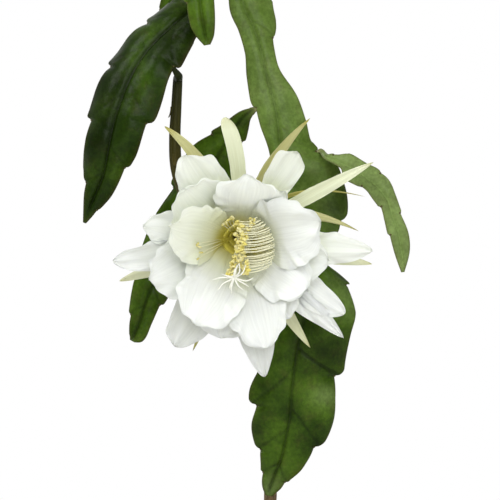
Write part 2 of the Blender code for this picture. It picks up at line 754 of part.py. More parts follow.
def tepal_mesh(name, spec, foot, rows, columns):
    """One petal or tepal as a thin closed blade."""
    line = tepal_line(spec, foot, 60)
    found = []
    for i in range(rows):
        row = []
        for v in columns:
            point, normal = tepal_point(spec, line, 1 - (1 - i / (rows - 1)) ** 1.5, v)
            row.append((point + normal * PETAL_THICKNESS / 2, point - normal * PETAL_THICKNESS / 2))
        found.append(row)
    return blade_mesh(name, found)


def ring_mesh(name, profile, segments):
    """A ring turned round the bloom's axis from a profile in mm of (radius, height)."""
    scaled = [(r * MM, h * MM) for r, h in profile]
    return turned_mesh(name, scaled, segments, in_bloom)


def add_petals():
    """The white petals: three layers fused to the funnel that they grow from."""
    funnel = [(5.8, 0.4), (9.0, 0.4), (11.2, 9), (10.4, 10.5), (8.8, 9.5), (5.8, 2.5)]
    petals = add_object("petals", ring_mesh("petals", funnel, 20), "petal")
    layers = (("inner", INNER_PETALS), ("second", SECOND_PETALS), ("middle", MIDDLE_PETALS))
    meshes = []
    for layer, specs in layers:
        for k, spec in enumerate(specs):
            name = f"{layer}_petal_{k}"
            columns = INNER_COLUMNS if layer == "inner" else PETAL_COLUMNS
            meshes.append(tepal_mesh(name, spec, PETAL_FOOT[layer], 7, columns))
    fuse(petals, meshes)


def add_outer_tepals():
    """The narrow outer tepals, fused to the collar that holds them round the tube's mouth."""
    collar = [(9.0, -8), (10.6, -7), (11.4, -1.5), (9.0, -1.5)]
    tepals = add_object("outer_tepals", ring_mesh("outer_tepals", collar, 20), "tepal")
    meshes = []
    for k, spec in enumerate(OUTER_TEPALS):
        meshes.append(tepal_mesh(f"outer_tepal_{k}", spec, PETAL_FOOT["outer"], 7, (-1, 0, 1)))
    fuse(tepals, meshes)


# The tube that carries the bloom, from the notch in the left cladode to the throat. Each row
# is a place and a radius in mm.
TUBE_ROWS = [(-50.5, 119, -70, 4.2), (-51.5, 100, -69, 4.0), (-52.5, 78, -70, 4.1),
             (-51, 56, -71, 4.3), (-43, 35, -66, 4.6), (-29, 21, -61, 4.9), (-15, 16, -62, 5.3)]
TUBE_NOTCH = 5.9
TUBE_MOUTH = [(-30, 6.2), (-16, 7.6), (-9, 8.6), (0, 8.6)]
TUBE_RINGS = 21
TUBE_SIDES = 10
TUBE_BORE = 5.4
TUBE_BORE_DEPTH = 20
BRACT_COUNT = 8


def tube_rows():
    """The tube's rows in metres: out of the notch, down, and forward into the throat."""
    start, out = margin_start("cladode_left", "right", TUBE_NOTCH + 0.08, -0.6)
    near = start + out * 5 * MM + Vector((0, 1, -1)) * MM
    rows = [(*start, 1.3 * MM), (*near, 3.2 * MM)]
    rows += [(*place(*row[:3]), row[3] * MM) for row in TUBE_ROWS]
    return rows + [(*in_bloom(0, 0, h * MM), radius * MM) for h, radius in TUBE_MOUTH]


def bract_mesh(name, rows, t, angle, length):
    """A small pointed scale that lies along the tube."""
    found = along(rows, t)
    heading = heading_of(rows, t)
    side = heading.cross(UP if abs(heading.z) < 0.9 else FRONT).normalized()
    out = side * math.cos(angle) + heading.cross(side) * math.sin(angle)
    across = heading.cross(out).normalized()
    foot = Vector(found[:3]) + out * found[3] * 0.8
    shape = []
    for s, half in ((0, 1.5), (0.45, 1.8), (0.8, 1.0), (1, 0.35)):
        centre = foot + heading * length * s + out * (0.9 * MM + length * 0.16 * s * s)
        row = []
        for v in (-1, 0, 1):
            point = centre + across * v * half * MM - out * abs(v) * 0.4 * MM
            row.append((point + out * 0.4 * MM, point - out * 0.4 * MM))
        shape.append(row)
    return blade_mesh(name, shape)


def add_tube():
    """The floral tube with its scales, bored where the style stands."""
    rows = tube_rows()
    last = len(rows) - 1
    found = [along(rows, i * last / (TUBE_RINGS - 1)) for i in range(TUBE_RINGS)]
    centres, radii = [Vector(row[:3]) for row in found], [row[3] for row in found]
    tube = add_object("floral_tube", tube_mesh("floral_tube", centres, radii, TUBE_SIDES), "tube")
    rng = random.Random(7)
    bracts = []
    for k in range(BRACT_COUNT):
        t = 1.4 + 7.2 * (k + 0.4 * rng.random()) / BRACT_COUNT
        bracts.append(bract_mesh(f"bract_{k}", rows, t, k * 2.4, (7 + 5 * rng.random()) * MM))
    fuse(tube, bracts)
    ends = [in_bloom(0, 0, -TUBE_BORE_DEPTH * MM), in_bloom(0, 0, 4 * MM)]
    bore = tube_mesh("tube_bore", ends, [TUBE_BORE * MM] * 2, 16)
    cut(tube, [add_object("tube_bore", bore, "tube")])


# Stamens: curved threads with an anther at each end, fused to a sleeve in the throat. Most
# lie in a bank along the right of the throat, and the rest lean on the petals all round.
STAMEN_SLEEVE = [(4.2, 0.8), (5.4, 0.8), (5.4, 4.6), (4.2, 4.6)]
FILAMENT_RADIUS = 0.45 * MM
BANK_STAMENS = 25
LOOSE_STAMENS = 6
ANTHER_LENGTH = 2.8 * MM
ANTHER_RADIUS = 0.8 * MM


def bank_stamen(k, count, rng):
    """The rows of one stamen in the right-hand bank: out along the wall, then curled left."""
    share = (k + 0.5) / count
    clock = math.radians(14 + 160 * share + rng.uniform(-4, 4))
    row = k % 3
    reach = 18.5 + 4 * share - row + rng.uniform(-0.6, 0.6)
    rise = 31 + 3 * row + 8 * share
    out = Vector((math.sin(clock), math.cos(clock), 0))
    curl = Vector((-10 - 1.5 * row - 2 * share, -2 - 4 * share, 6))
    crest = out * reach + Vector((0, 0, rise))
    places = [out * 4.8 + Vector((0, 0, 3.4)), out * reach * 0.6 + Vector((0, 0, rise * 0.5))]
    return places + [crest, crest + curl * (1 + 0.15 * rng.random())]


def loose_stamen(k, count, rng):
    """The rows of one stamen that leans outwards over the petals."""
    clock = math.radians(228 + 140 * (k + 0.5) / count + rng.uniform(-6, 6))
    reach = 13 + 7 * rng.random()
    rise = 30 + 9 * rng.random()
    out = Vector((math.sin(clock), math.cos(clock), 0))
    places = [out * 4.8 + Vector((0, 0, 3.4)), out * reach * 0.5 + Vector((0, 0, rise * 0.5))]
    return places + [out * reach + Vector((0, 0, rise))]


def stamen_meshes(name, places):
    """A thread of three sides and its anther."""
    rows = [tuple(in_bloom(*(p * MM))) for p in places]
    last = len(rows) - 1
    centres = [Vector(along(rows, i * last / 4)) for i in range(5)]
    thread = tube_mesh(name, centres, [FILAMENT_RADIUS] * 5, 3)
    heading = heading_of(rows, last - 0.05)
    tip = centres[-1] + heading * ANTHER_LENGTH * 0.3
    ends = [tip - heading * ANTHER_LENGTH / 2, tip, tip + heading * ANTHER_LENGTH / 2]
    radii = [ANTHER_RADIUS * 0.55, ANTHER_RADIUS, ANTHER_RADIUS * 0.45]
    return [thread, tube_mesh(name + "_anther", ends, radii, 3)]


def add_stamens():
    """All the stamens as one body on their sleeve."""
    rng = random.Random(11)
    stamens = add_object("stamens", ring_mesh("stamens", STAMEN_SLEEVE, 16), "stamen")
    meshes = []
    for k in range(BANK_STAMENS):
        meshes += stamen_meshes(f"bank_stamen_{k}", bank_stamen(k, BANK_STAMENS, rng))
    for k in range(LOOSE_STAMENS):
        meshes += stamen_meshes(f"loose_stamen_{k}", loose_stamen(k, LOOSE_STAMENS, rng))
    fuse(stamens, meshes)


# The style stands in the tube's bore, leans low in the throat and ends in a star of lobes.
STYLE_ROWS = [(0, 0, -19.6), (0, 0, -8), (0, 0, 8), (-2, -5, 26), (-5, -13, 42), (-7, -19, 53)]
STYLE_RADIUS = 1.1 * MM
STIGMA_LOBES = 11
STIGMA_LENGTH = 11


def add_style():
    """The style and its stigma lobes as one body."""
    rows = [tuple(in_bloom(*(Vector(p) * MM))) for p in STYLE_ROWS]
    last = len(rows) - 1
    centres = [Vector(along(rows, i * last / 12)) for i in range(13)]
    style = add_object("style", tube_mesh("style", centres, [STYLE_RADIUS] * 13, 8), "style")
    tip, heading = centres[-1], heading_of(rows, last - 0.05)
    side = heading.orthogonal().normalized()
    third = heading.cross(side)
    lobes = []
    for k in range(STIGMA_LOBES):
        angle = TAU * k / STIGMA_LOBES
        out = side * math.cos(angle) + third * math.sin(angle)
        reach = (STIGMA_LENGTH - 1.5 * (k % 3)) * MM
        places = [tip - heading * 1.5 * MM, tip + out * 3 * MM + heading * 1.5 * MM,
                  tip + out * reach * 0.8 + heading * (2.5 + 1.5 * (k % 3)) * MM]
        curve = [Vector(along([tuple(p) for p in places], i / 2)) for i in range(5)]
        lobes.append(tube_mesh(f"stigma_lobe_{k}", curve, [0.7 * MM] * 3 + [0.6 * MM, 0.4 * MM], 4))
    fuse(style, lobes)


def main():
    """Build every sub-part of the potted plant."""
    clear_scene()
    add_pot()
    sockets = [add_cane(name) for name in CANES]
    add_soil(sockets)
    prepare_cladodes()
    add_cladodes()
    add_tube()
    add_petals()
    add_outer_tepals()
    add_stamens()
    add_style()


main()
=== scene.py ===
"""Potted queen of the night cactus (Epiphyllum oxypetalum): the finish of every surface.

Each sub-part of the plant is modelled again around the packed frame with its full detail: the
veins and notched margins of the flat stems, the ruffled petals, the bank of stamens, the bark
in the pot. Metres, +Z up, origin at the centre of the pot's base, front at -Y.
"""

import json
import math
import random

import bmesh
import bpy
import numpy as np
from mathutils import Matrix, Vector, noise

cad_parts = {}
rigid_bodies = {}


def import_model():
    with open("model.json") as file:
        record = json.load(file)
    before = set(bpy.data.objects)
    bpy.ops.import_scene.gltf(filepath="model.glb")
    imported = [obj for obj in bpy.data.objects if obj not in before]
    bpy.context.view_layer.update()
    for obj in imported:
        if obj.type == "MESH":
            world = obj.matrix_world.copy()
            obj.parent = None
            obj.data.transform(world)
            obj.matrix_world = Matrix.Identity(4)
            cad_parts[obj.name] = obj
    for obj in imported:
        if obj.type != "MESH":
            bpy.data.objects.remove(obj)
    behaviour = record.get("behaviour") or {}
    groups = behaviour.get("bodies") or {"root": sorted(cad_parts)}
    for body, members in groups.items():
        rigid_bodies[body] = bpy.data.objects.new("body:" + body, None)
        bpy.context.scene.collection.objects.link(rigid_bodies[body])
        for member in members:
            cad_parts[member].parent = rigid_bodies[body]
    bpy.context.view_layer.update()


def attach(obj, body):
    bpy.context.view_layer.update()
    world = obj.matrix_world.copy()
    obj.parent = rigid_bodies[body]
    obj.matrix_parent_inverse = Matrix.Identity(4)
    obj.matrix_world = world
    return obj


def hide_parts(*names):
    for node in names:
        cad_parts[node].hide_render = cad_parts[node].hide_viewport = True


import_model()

bl_info = {
    "name": "Potted queen of the night",
    "version": (1, 0, 0),
    "blender": (4, 5, 0),
    "location": "View3D > Sidebar > Plant",
    "description": "Models and finishes a potted queen of the night cactus in bloom",
    "category": "Object",
}

MM = 0.001
TAU = 2 * math.pi
FRONT = Vector((0, -1, 0))
UP = Vector((0, 0, 1))
WHITE = (1, 1, 1, 1)

# Clay pot and compost.
POT_HEIGHT = 0.165
POT_FOOT_RADIUS = 0.060
POT_SHOULDER_RADIUS = 0.081
POT_RIM_RADIUS = 0.090
POT_RIM_HEIGHT = 0.034
POT_WALL = 0.007
POT_FLOOR = 0.009
POT_EDGE = 0.0022
POT_SEGMENTS = 128
FOOT_RECESS = 0.0016
FINGER_SPACING = 0.0085
FINGER_DEPTH = 0.12 * MM
WHEEL_WOBBLE = 0.5 * MM
DRAIN_HOLES = 3
DRAIN_RADIUS = 0.006
DRAIN_CIRCLE = 0.032
SOIL_DROP = 0.014
SOIL_MOUND = 0.006
SOIL_RELIEF = 0.0045
SOIL_CRUMB = 1.1 * MM
CHIP_SHAPES = 5
CHIPS_PER_SQUARE_METRE = 400000
CANE_ROOT_DEPTH = 0.070

# The plant is laid out as it is seen from the front, in millimetres across and up from the
# eye's line, and each place has its own depth. Sizes across are true at LAYOUT_DEPTH, where
# the lens frames 350 mm.
EYE = Vector((-0.013, -2.10, 0.375))
LAYOUT_DEPTH = -0.10
LENS = 205.7
SENSOR = 36

# The bloom's throat, and the way that it faces: a little right of the viewer and nodding.
THROAT = (-9, 9, -106)
FACING_RIGHT = math.radians(4)
NODDING = math.radians(12)


def linear(code):
    """A hex sRGB colour as linear red, green, blue and alpha."""
    parts = [int(code[i:i + 2], 16) / 255 for i in (1, 3, 5)]
    return tuple(c / 12.92 if c <= 0.04045 else ((c + 0.055) / 1.055) ** 2.4 for c in parts) + (1,)


def colour_setting(name, description, code):
    """A colour in a settings group, with its default from a hex value."""
    return bpy.props.FloatVectorProperty(
        name=name, description=description, subtype="COLOR", size=4, min=0, max=1, default=linear(code)
    )


def length_setting(name, description, default):
    """A length in metres in a settings group."""
    return bpy.props.FloatProperty(
        name=name, description=description, default=default, min=0, unit="LENGTH", precision=5
    )


class PLANT_PG_pot(bpy.types.PropertyGroup):
    """Clay pot and bark."""

    clay: colour_setting("Clay", "Fired clay where it is clean and dry", "#b9663f")
    clay_dark: colour_setting("Damp clay", "Fired clay where it is damp and rubbed", "#94492b")
    salts: colour_setting("Salts", "Chalky bloom that watering leaves on the clay", "#d9c3ad")
    bark_dark: colour_setting("Dark bark", "Damp bark and crumbs", "#2a1c12")
    bark_light: colour_setting("Light bark", "Dry faces of the bark chips", "#7a563a")
    chip: length_setting("Bark chip", "Length of a large bark chip", 0.0105)
    chip_spacing: length_setting("Chip spacing", "Least distance between two chips", 0.0030)


class PLANT_PG_stems(bpy.types.PropertyGroup):
    """Canes and flat stems."""

    bark: colour_setting("Cane bark", "Corky bark at the foot of a cane", "#7d6a4a")
    green_bark: colour_setting("Green bark", "Younger bark near the top of a cane", "#4c5a2c")
    old_green: colour_setting("Old green", "Shaded, old flat stems", "#29400a")
    mid_green: colour_setting("Middle green", "Flat stems of middle age", "#496418")
    new_green: colour_setting("New green", "Young or sunlit flat stems", "#6f8349")
    margin: colour_setting("Margin", "Thin horny edge of a flat stem", "#4a3b26")
    # The colour of the painted sheen, mixed into a blade's skin where its shade mark is below 0.
    painted_sheen_colour: colour_setting("Wax", "Skin under a thicker coat of wax", "#8b9f62")
    cork: colour_setting("Cork", "Healed, corky foot of a flat stem", "#a39a78")
    edge: length_setting("Margin thickness", "Thickness of a flat stem at its margin", 0.0013)
    rib: length_setting("Rib thickness", "Thickness of a flat stem at its midrib", 0.0034)
    vein_depth: length_setting("Vein depth", "How far a vein is sunk in the blade", 0.0004)
    pillow: length_setting("Pillow", "How far the blade swells between its veins", 0.0005)


class PLANT_PG_bloom(bpy.types.PropertyGroup):
    """The bloom and its tube."""

    white: colour_setting("Petal white", "Open part of the petals", "#f5f9f1")
    cream: colour_setting("Petal cream", "Lower part of the petals", "#e3e8cc")
    throat: colour_setting("Throat", "Inside of the throat", "#d5ca58")
    bore: colour_setting("Bore", "Wall of the tube's bore, where light hardly falls", "#f0e88e")
    tepal_pale: colour_setting("Pale tepal", "Palest outer tepals", "#e8edd0")
    tepal_gold: colour_setting("Golden tepal", "Green-gold outer tepals", "#a9a352")
    tube_dark: colour_setting("Dark tube", "Upper part of the floral tube", "#1a2104")
    tube_bronze: colour_setting("Bronze tube", "Lower part of the floral tube", "#4a4112")
    filament: colour_setting("Filament", "Threads of the stamens", "#f0eed0")
    pollen: colour_setting("Pollen", "Anthers covered in pollen", "#ddd06e")
    style: colour_setting("Style", "Style and stigma lobes", "#f6f6ec")
    petal: length_setting("Petal thickness", "Thickness of a petal at its middle", 0.0008)
    ruffle: length_setting("Ruffle", "How far the petals' edges wave", 0.0015)
    roll: length_setting("Rolled rim", "How far the petals' rims roll back", 0.0020)
    thread: length_setting("Filament radius", "Radius of a stamen's thread", 0.00035)
    bank: bpy.props.IntProperty(
        name="Bank of stamens", description="Stamens in the bank at the right", default=51, min=1
    )
    heart: bpy.props.IntProperty(
        name="Heart stamens", description="Stamens that crowd down the middle", default=84, min=1
    )
    loose: bpy.props.IntProperty(
        name="Loose stamens", description="Stamens that lean on the petals", default=8, min=1
    )


class PLANT_PG_stage(bpy.types.PropertyGroup):
    """Floor, backdrop and light."""

    floor: colour_setting("Floor", "Pale studio floor", "#eeeeec")
    key: bpy.props.FloatProperty(
        name="Key light", description="Lamp at the upper left", default=16, unit="POWER"
    )
    front: bpy.props.FloatProperty(
        name="Front light", description="Lamp in front", default=36, unit="POWER"
    )
    side: bpy.props.FloatProperty(
        name="Side light", description="Lamp at the right", default=4, unit="POWER"
    )
    sky: bpy.props.FloatProperty(name="Room light", description="Strength overhead", default=0.75)


# Node and mesh helpers


def add(tree, kind, values=(), links=(), stops=(), out=0, **settings):
    """Add a node with its settings, its inputs' values and links and a ramp's colour stops, and
    give the output that is asked for."""
    node = tree.nodes.new(kind)
    for name, value in settings.items():
        setattr(node, name, value)
    for socket, value in dict(values).items():
        node.inputs[socket].default_value = value
    for socket, source in dict(links).items():
        tree.links.new(source, node.inputs[socket])
    for i, (place_on_ramp, colour) in enumerate(stops):
        ramp = node.color_ramp.elements
        stop = ramp[i] if i < 2 else ramp.new(place_on_ramp)
        stop.position, stop.color = place_on_ramp, colour
    return node.outputs[out]


def new_material(name, roughness, **sockets):
    """A material with its Principled BSDF: its tree and its shader."""
    made = bpy.data.materials.new(name)
    made.use_nodes = True
    shader = made.node_tree.nodes["Principled BSDF"]
    shader.inputs["Roughness"].default_value = roughness
    for socket, value in sockets.items():
        shader.inputs[socket.replace("_", " ")].default_value = value
    return made, made.node_tree, shader


def coat(tree, shader, colour, relief, strength, depth):
    """Give a surface its colour, and its fine relief with a strength and a depth in metres."""
    tree.links.new(colour, shader.inputs["Base Color"])
    bump = add(tree, "ShaderNodeBump", {"Strength": strength, "Distance": depth}, {"Height": relief})
    tree.links.new(bump, shader.inputs["Normal"])


def mesh_of(name, skins):
    """One mesh from closed skins of (points, faces, marks), with its faces turned outwards."""
    points, faces, marks = [], [], {}
    for skin_points, skin_faces, skin_marks in skins:
        start = len(points)
        points += skin_points
        faces += [[start + k for k in face] for face in skin_faces]
        for key, values in skin_marks.items():
            marks.setdefault(key, []).extend(values)
    mesh = bpy.data.meshes.new(name)
    mesh.from_pydata([tuple(p) for p in points], [], faces)
    shape = bmesh.new()
    shape.from_mesh(mesh)
    bmesh.ops.recalc_face_normals(shape, faces=shape.faces)
    shape.to_mesh(mesh)
    shape.free()
    for key, values in marks.items():
        mesh.attributes.new(key, "FLOAT", "POINT").data.foreach_set("value", values)
    mesh.shade_smooth()
    return mesh


def bands(loops):
    """The faces between closed loops of point numbers, from each loop to the next."""
    faces = []
    for low, high in zip(loops, loops[1:]):
        faces += zip(low, low[1:] + low[:1], high[1:] + high[:1], high)
    return faces


def loft(rings, marks):
    """A closed skin through rings of points, each end closed at a pole in its middle."""
    count = len(rings[0])
    points = [p for ring in rings for p in ring]
    loops = [list(range(i * count, (i + 1) * count)) for i in range(len(rings))]
    faces = bands(loops)
    for loop, ring in ((loops[0], rings[0]), (loops[-1], rings[-1])):
        faces += [(len(points), a, b) for a, b in zip(loop, loop[1:] + loop[:1])]
        points.append(sum(ring, Vector()) / count)
        for values in marks.values():
            values.append(values[loop[0]])
    return points, faces, marks


def round_skin(centres, radii, sides, marks, wobble=None, bore=()):
    """A closed round skin along the centres, carried without twist. wobble(i, angle) scales it,
    and a bore's rows of (radius, height) in mm lead from its last ring back into it."""
    rings = []
    heading = (centres[1] - centres[0]).normalized()
    side = heading.orthogonal().normalized()
    for i, (centre, radius) in enumerate(zip(centres, radii)):
        heading = (centres[min(i + 1, len(centres) - 1)] - centres[max(i - 1, 0)]).normalized()
        side = (side - heading * side.dot(heading)).normalized()
        third = heading.cross(side)
        ring = []
        for k in range(sides):
            angle = TAU * k / sides
            reach = radius * (wobble(i, angle) if wobble else 1)
            ring.append(centre + (side * math.cos(angle) + third * math.sin(angle)) * reach)
        rings.append(ring)
    end, mouth = centres[-1], rings[-1]
    for radius, height in bore:
        middle = end + heading * height * MM
        rings.append([middle + (p - end).normalized() * radius * MM for p in mouth])
    spread = {}
    for key, values in marks.items():
        spread[key] = [value for value in values + [1] * len(bore) for _ in range(sides)]
    return loft(rings, spread)


def turned_skin(profile, segments):
    """A skin turned from an open profile of (radius, height), closed where it meets the axis."""
    points, faces, rings = [], [], []
    for radius, height in profile:
        rings.append(list(range(len(points), len(points) + (segments if radius else 1))))
        for k in range(len(rings[-1])):
            angle = TAU * k / segments
            points.append(Vector((radius * math.cos(angle), radius * math.sin(angle), height)))
    for low, high in zip(rings, rings[1:]):
        for k in range(segments):
            n = (k + 1) % segments
            corners = [low[k % len(low)], low[n % len(low)], high[n % len(high)], high[k % len(high)]]
            face = list(dict.fromkeys(corners))
            if len(face) > 2:
                faces.append(face)
    return points, faces, {}


def new_object(name, data):
    """A new object in the scene, made of this mesh, light or lens."""
    made = bpy.data.objects.new(name, data)
    bpy.context.scene.collection.objects.link(made)
    return made


def dress(name, node, slot, mesh, *materials):
    """Show a mesh as a piece at the origin that stands for a CAD node."""
    for finish in materials:
        mesh.materials.append(finish)
    piece = new_object(name, mesh)
    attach(piece, "root")
    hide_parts(node)
    return piece


def new_tree(name, inputs):
    """An empty geometry tree with a shape in and out and its named inputs."""
    tree = bpy.data.node_groups.new(name, "GeometryNodeTree")
    tree.interface.new_socket("Geometry", in_out="INPUT", socket_type="NodeSocketGeometry")
    tree.interface.new_socket("Geometry", in_out="OUTPUT", socket_type="NodeSocketGeometry")
    for label, kind in inputs:
        tree.interface.new_socket(label, in_out="INPUT", socket_type="NodeSocket" + kind)
    return tree, tree.nodes.new("NodeGroupInput").outputs


def spun(tree, rotation, seed):
    """A rotation with a random turn about its own axis and a random lean."""
    random_turn = add(tree, "FunctionNodeRandomValue", {0: (-0.5, -0.5, 0), 1: (0.5, 0.5, TAU)},
                      {8: seed}, data_type="FLOAT_VECTOR")
    spin = add(tree, "FunctionNodeEulerToRotation", links={0: random_turn})
    return add(tree, "FunctionNodeRotateRotation", links={0: rotation, 1: spin},
               rotation_space="LOCAL")


def grown(mesh, tree, values):
    """The plain mesh that a geometry tree makes of this one."""
    carrier = new_object(tree.name, mesh)
    step = carrier.modifiers.new(tree.name, "NODES")
    step.node_group = tree
    for item in tree.interface.items_tree:
        if item.in_out == "INPUT" and item.name in values:
            step[item.identifier] = values[item.name]
    graph = bpy.context.evaluated_depsgraph_get()
    made = bpy.data.meshes.new_from_object(
        carrier.evaluated_get(graph), preserve_all_data_layers=True, depsgraph=graph
    )
    carrier.modifiers.clear()
    bpy.data.objects.remove(carrier)
    return made


# Curves and places


def place(across, up, depth):
    """The point that is seen across and up from the eye's line, in mm, at this depth in mm."""
    y = depth * MM
    share = (y - EYE.y) / (LAYOUT_DEPTH - EYE.y)
    return Vector((EYE.x + across * MM * share, y, EYE.z + up * MM * share))


def eased(value):
    """A value held between 0 and 1 and eased at both ends."""
    value = min(1, max(0, value))
    return value * value * (3 - 2 * value)


def between(table, t):
    """The value at t in a list of (t, value) pairs, eased from each pair to the next."""
    for (t0, v0), (t1, v1) in zip(table, table[1:]):
        if t <= t1:
            return v0 + (v1 - v0) * eased((t - t0) / (t1 - t0))
    return table[-1][1]


def along(rows, t):
    """The values at t on the smooth curve through rows of numbers; t counts rows from 0."""
    t = min(max(t, 0), len(rows) - 1)
    i = min(int(t), len(rows) - 2)
    u = t - i
    p1, p2 = np.array(rows[i]), np.array(rows[i + 1])
    p0 = np.array(rows[i - 1]) if i else p1 * 2 - p2
    p3 = np.array(rows[i + 2]) if i + 2 < len(rows) else p2 * 2 - p1
    before, span, after = (np.linalg.norm(b - a) for a, b in ((p0, p1), (p1, p2), (p2, p3)))
    m1 = (p2 - p0) * span / (before + span)
    m2 = (p3 - p1) * span / (after + span)
    return (
        p1 * (2 * u**3 - 3 * u**2 + 1)
        + m1 * (u**3 - 2 * u**2 + u)
        + p2 * (3 * u**2 - 2 * u**3)
        + m2 * (u**3 - u**2)
    )


def heading_of(rows, t):
    """The direction of the curve's first three values at t."""
    step = 0.02
    return Vector((along(rows, t + step) - along(rows, t - step))[:3]).normalized()


def sampled(rows, count):
    """Even samples along rows: their points, their last values and their shares of the way."""
    last = len(rows) - 1
    shares = [i / (count - 1) for i in range(count)]
    found = [along(rows, share * last) for share in shares]
    return [Vector(row[:3]) for row in found], [row[-1] for row in found], shares


# Clay pot


def pot_inner_radius(z):
    """The inside radius of the pot's wall at a height."""
    share = (z - POT_FLOOR) / (POT_HEIGHT - POT_FLOOR)
    top = POT_RIM_RADIUS - POT_WALL - 2 * POT_EDGE
    return (POT_FOOT_RADIUS - POT_WALL) * (1 - share) + top * share


def rounded(corners, step):
    """A profile from corners of (radius, height, fillet), with even points on its straights."""
    points = [Vector(corners[0][:2])]
    for before, corner, after in zip(corners, corners[1:], corners[2:]):
        here = Vector(corner[:2])
        back = (Vector(before[:2]) - here).normalized() * corner[2]
        ahead = (Vector(after[:2]) - here).normalized() * corner[2]
        for k in range(6):
            u = k / 5
            points.append(here + back * (1 - u) ** 2 + ahead * u * u)
    points.append(Vector(corners[-1][:2]))
    filled = [points[0]]
    for a, b in zip(points, points[1:]):
        parts = max(1, round((b - a).length / step))
        filled += [a.lerp(b, (k + 1) / parts) for k in range(parts)]
    return [(max(p.x, 0), p.y) for p in filled]


def terracotta(settings):
    """Low-fired earthenware, turned on a wheel: matt, open-pored, with chalky salts where water
    dries out through the wall. Its grit, under 0.5 mm, is drawn 1.6 mm wide so that it shows."""
    made, tree, shader = new_material("terracotta", 0.86, Specular_IOR_Level=0.3)
    spot = add(tree, "ShaderNodeTexCoord", out="Object")
    height = add(tree, "ShaderNodeSeparateXYZ", links={0: spot}, out="Z")
    cloud = add(tree, "ShaderNodeTexNoise", {"Scale": 1 / 0.045, "Detail": 6, "Roughness": 0.6},
                {"Vector": spot})
    grit = add(tree, "ShaderNodeTexNoise", {"Scale": 1 / 0.0016, "Detail": 3}, {"Vector": spot})
    uneven = add(tree, "ShaderNodeMapRange", {1: 0.35, 2: 0.68}, {0: cloud})
    body = add(tree, "ShaderNodeMix", {6: settings.clay_dark, 7: settings.clay}, {0: uneven},
               data_type="RGBA", out=2)
    crust = add(tree, "ShaderNodeTexNoise", {"Scale": 1 / 0.028, "Detail": 9, "Roughness": 0.72},
                {"Vector": spot})
    rim_height = POT_HEIGHT - POT_RIM_HEIGHT
    upper = add(tree, "ShaderNodeMapRange", {1: 0.05, 2: rim_height}, {0: height})
    band = add(tree, "ShaderNodeMapRange", {1: rim_height, 2: POT_HEIGHT, 3: 1, 4: 0.35}, {0: height})
    where = add(tree, "ShaderNodeMath", links={0: upper, 1: band}, operation="MULTIPLY")
    bare = add(tree, "ShaderNodeMapRange", {1: 0.50, 2: 0.72, 4: 0.85}, {0: crust})
    salted = add(tree, "ShaderNodeMath", links={0: bare, 1: where}, operation="MULTIPLY")
    salts_and_painted_sheen = add(tree, "ShaderNodeMix", {7: settings.salts}, {0: salted, 6: body}, data_type="RGBA", out=2)
    speck = add(tree, "ShaderNodeMapRange", {1: 0.3, 2: 0.75, 3: 0.86, 4: 1.1}, {0: grit})
    colour = add(tree, "ShaderNodeVectorMath", links={0: salts_and_painted_sheen, 3: speck}, operation="SCALE")
    lines = add(tree, "ShaderNodeTexWave", {"Scale": TAU / 0.0021 / 20, "Distortion": 1.2, "Detail": 2},
                {"Vector": spot}, wave_type="BANDS", bands_direction="Z", out="Fac")
    relief = add(tree, "ShaderNodeMath", {1: 0.35}, {0: lines, 2: grit}, operation="MULTIPLY_ADD")
    coat(tree, shader, colour, relief, 0.55, 0.0003)
    return made


def make_pot(settings):
    """The turned pot: a rolled rim, a wall with faint finger rings, and its drain holes."""
    rim_foot = POT_HEIGHT - POT_RIM_HEIGHT
    corners = [
        (0, FOOT_RECESS, 0),
        (POT_FOOT_RADIUS - 0.013, FOOT_RECESS, 0.001),
        (POT_FOOT_RADIUS - 0.010, 0, 0.001),
        (POT_FOOT_RADIUS, 0, 0.003),
        (POT_SHOULDER_RADIUS - 0.0004, rim_foot + 0.0005, 0.0015),
        (POT_RIM_RADIUS - 1.2 * POT_EDGE, rim_foot, 0.0022),
        (POT_RIM_RADIUS - 0.0002, POT_HEIGHT - POT_EDGE, 0.004),
        (POT_RIM_RADIUS - 1.4 * POT_EDGE, POT_HEIGHT, 0.0022),
        (pot_inner_radius(POT_HEIGHT), POT_HEIGHT, 0.0028),
        (pot_inner_radius(POT_FLOOR), POT_FLOOR, 0.006),
        (0, POT_FLOOR, 0),
    ]
    skin_points, faces, marks = turned_skin(rounded(corners, 0.003), POT_SEGMENTS)
    points = []
    for p in skin_points:
        reach = math.hypot(p.x, p.y)
        finger = FINGER_DEPTH * math.sin(TAU * p.z / FINGER_SPACING)
        uneven = WHEEL_WOBBLE * noise.noise(Vector((p.x, p.y, p.z * 0.6)) * 22)
        on_wall = reach > 0.05
        share = 1 + (finger + uneven) / reach if on_wall else 1
        points.append(Vector((p.x * share, p.y * share, p.z)))
    pot = new_object("pot_blank", mesh_of("pot_blank", [(points, faces, marks)]))
    drills = []
    for k in range(DRAIN_HOLES):
        angle = TAU * (k + 0.25) / DRAIN_HOLES
        centre = Vector((math.cos(angle), math.sin(angle), 0)) * DRAIN_CIRCLE
        ends = [centre + UP * z for z in (-POT_FLOOR, 2 * POT_FLOOR)]
        drill_mesh = mesh_of("drill", [round_skin(ends, [DRAIN_RADIUS] * 2, 32, {})])
        drill = new_object(f"drill_{k}", drill_mesh)
        step = pot.modifiers.new(f"drain_{k}", "BOOLEAN")
        step.object = drill
        drills.append(drill)
    mesh = bpy.data.meshes.new_from_object(pot.evaluated_get(bpy.context.evaluated_depsgraph_get()))
    for item in [pot] + drills:
        bpy.data.objects.remove(item)
    mesh.set_sharp_from_angle(angle=math.radians(50))
    dress("clay_pot", "pot", "clay", mesh, terracotta(settings))


# Compost


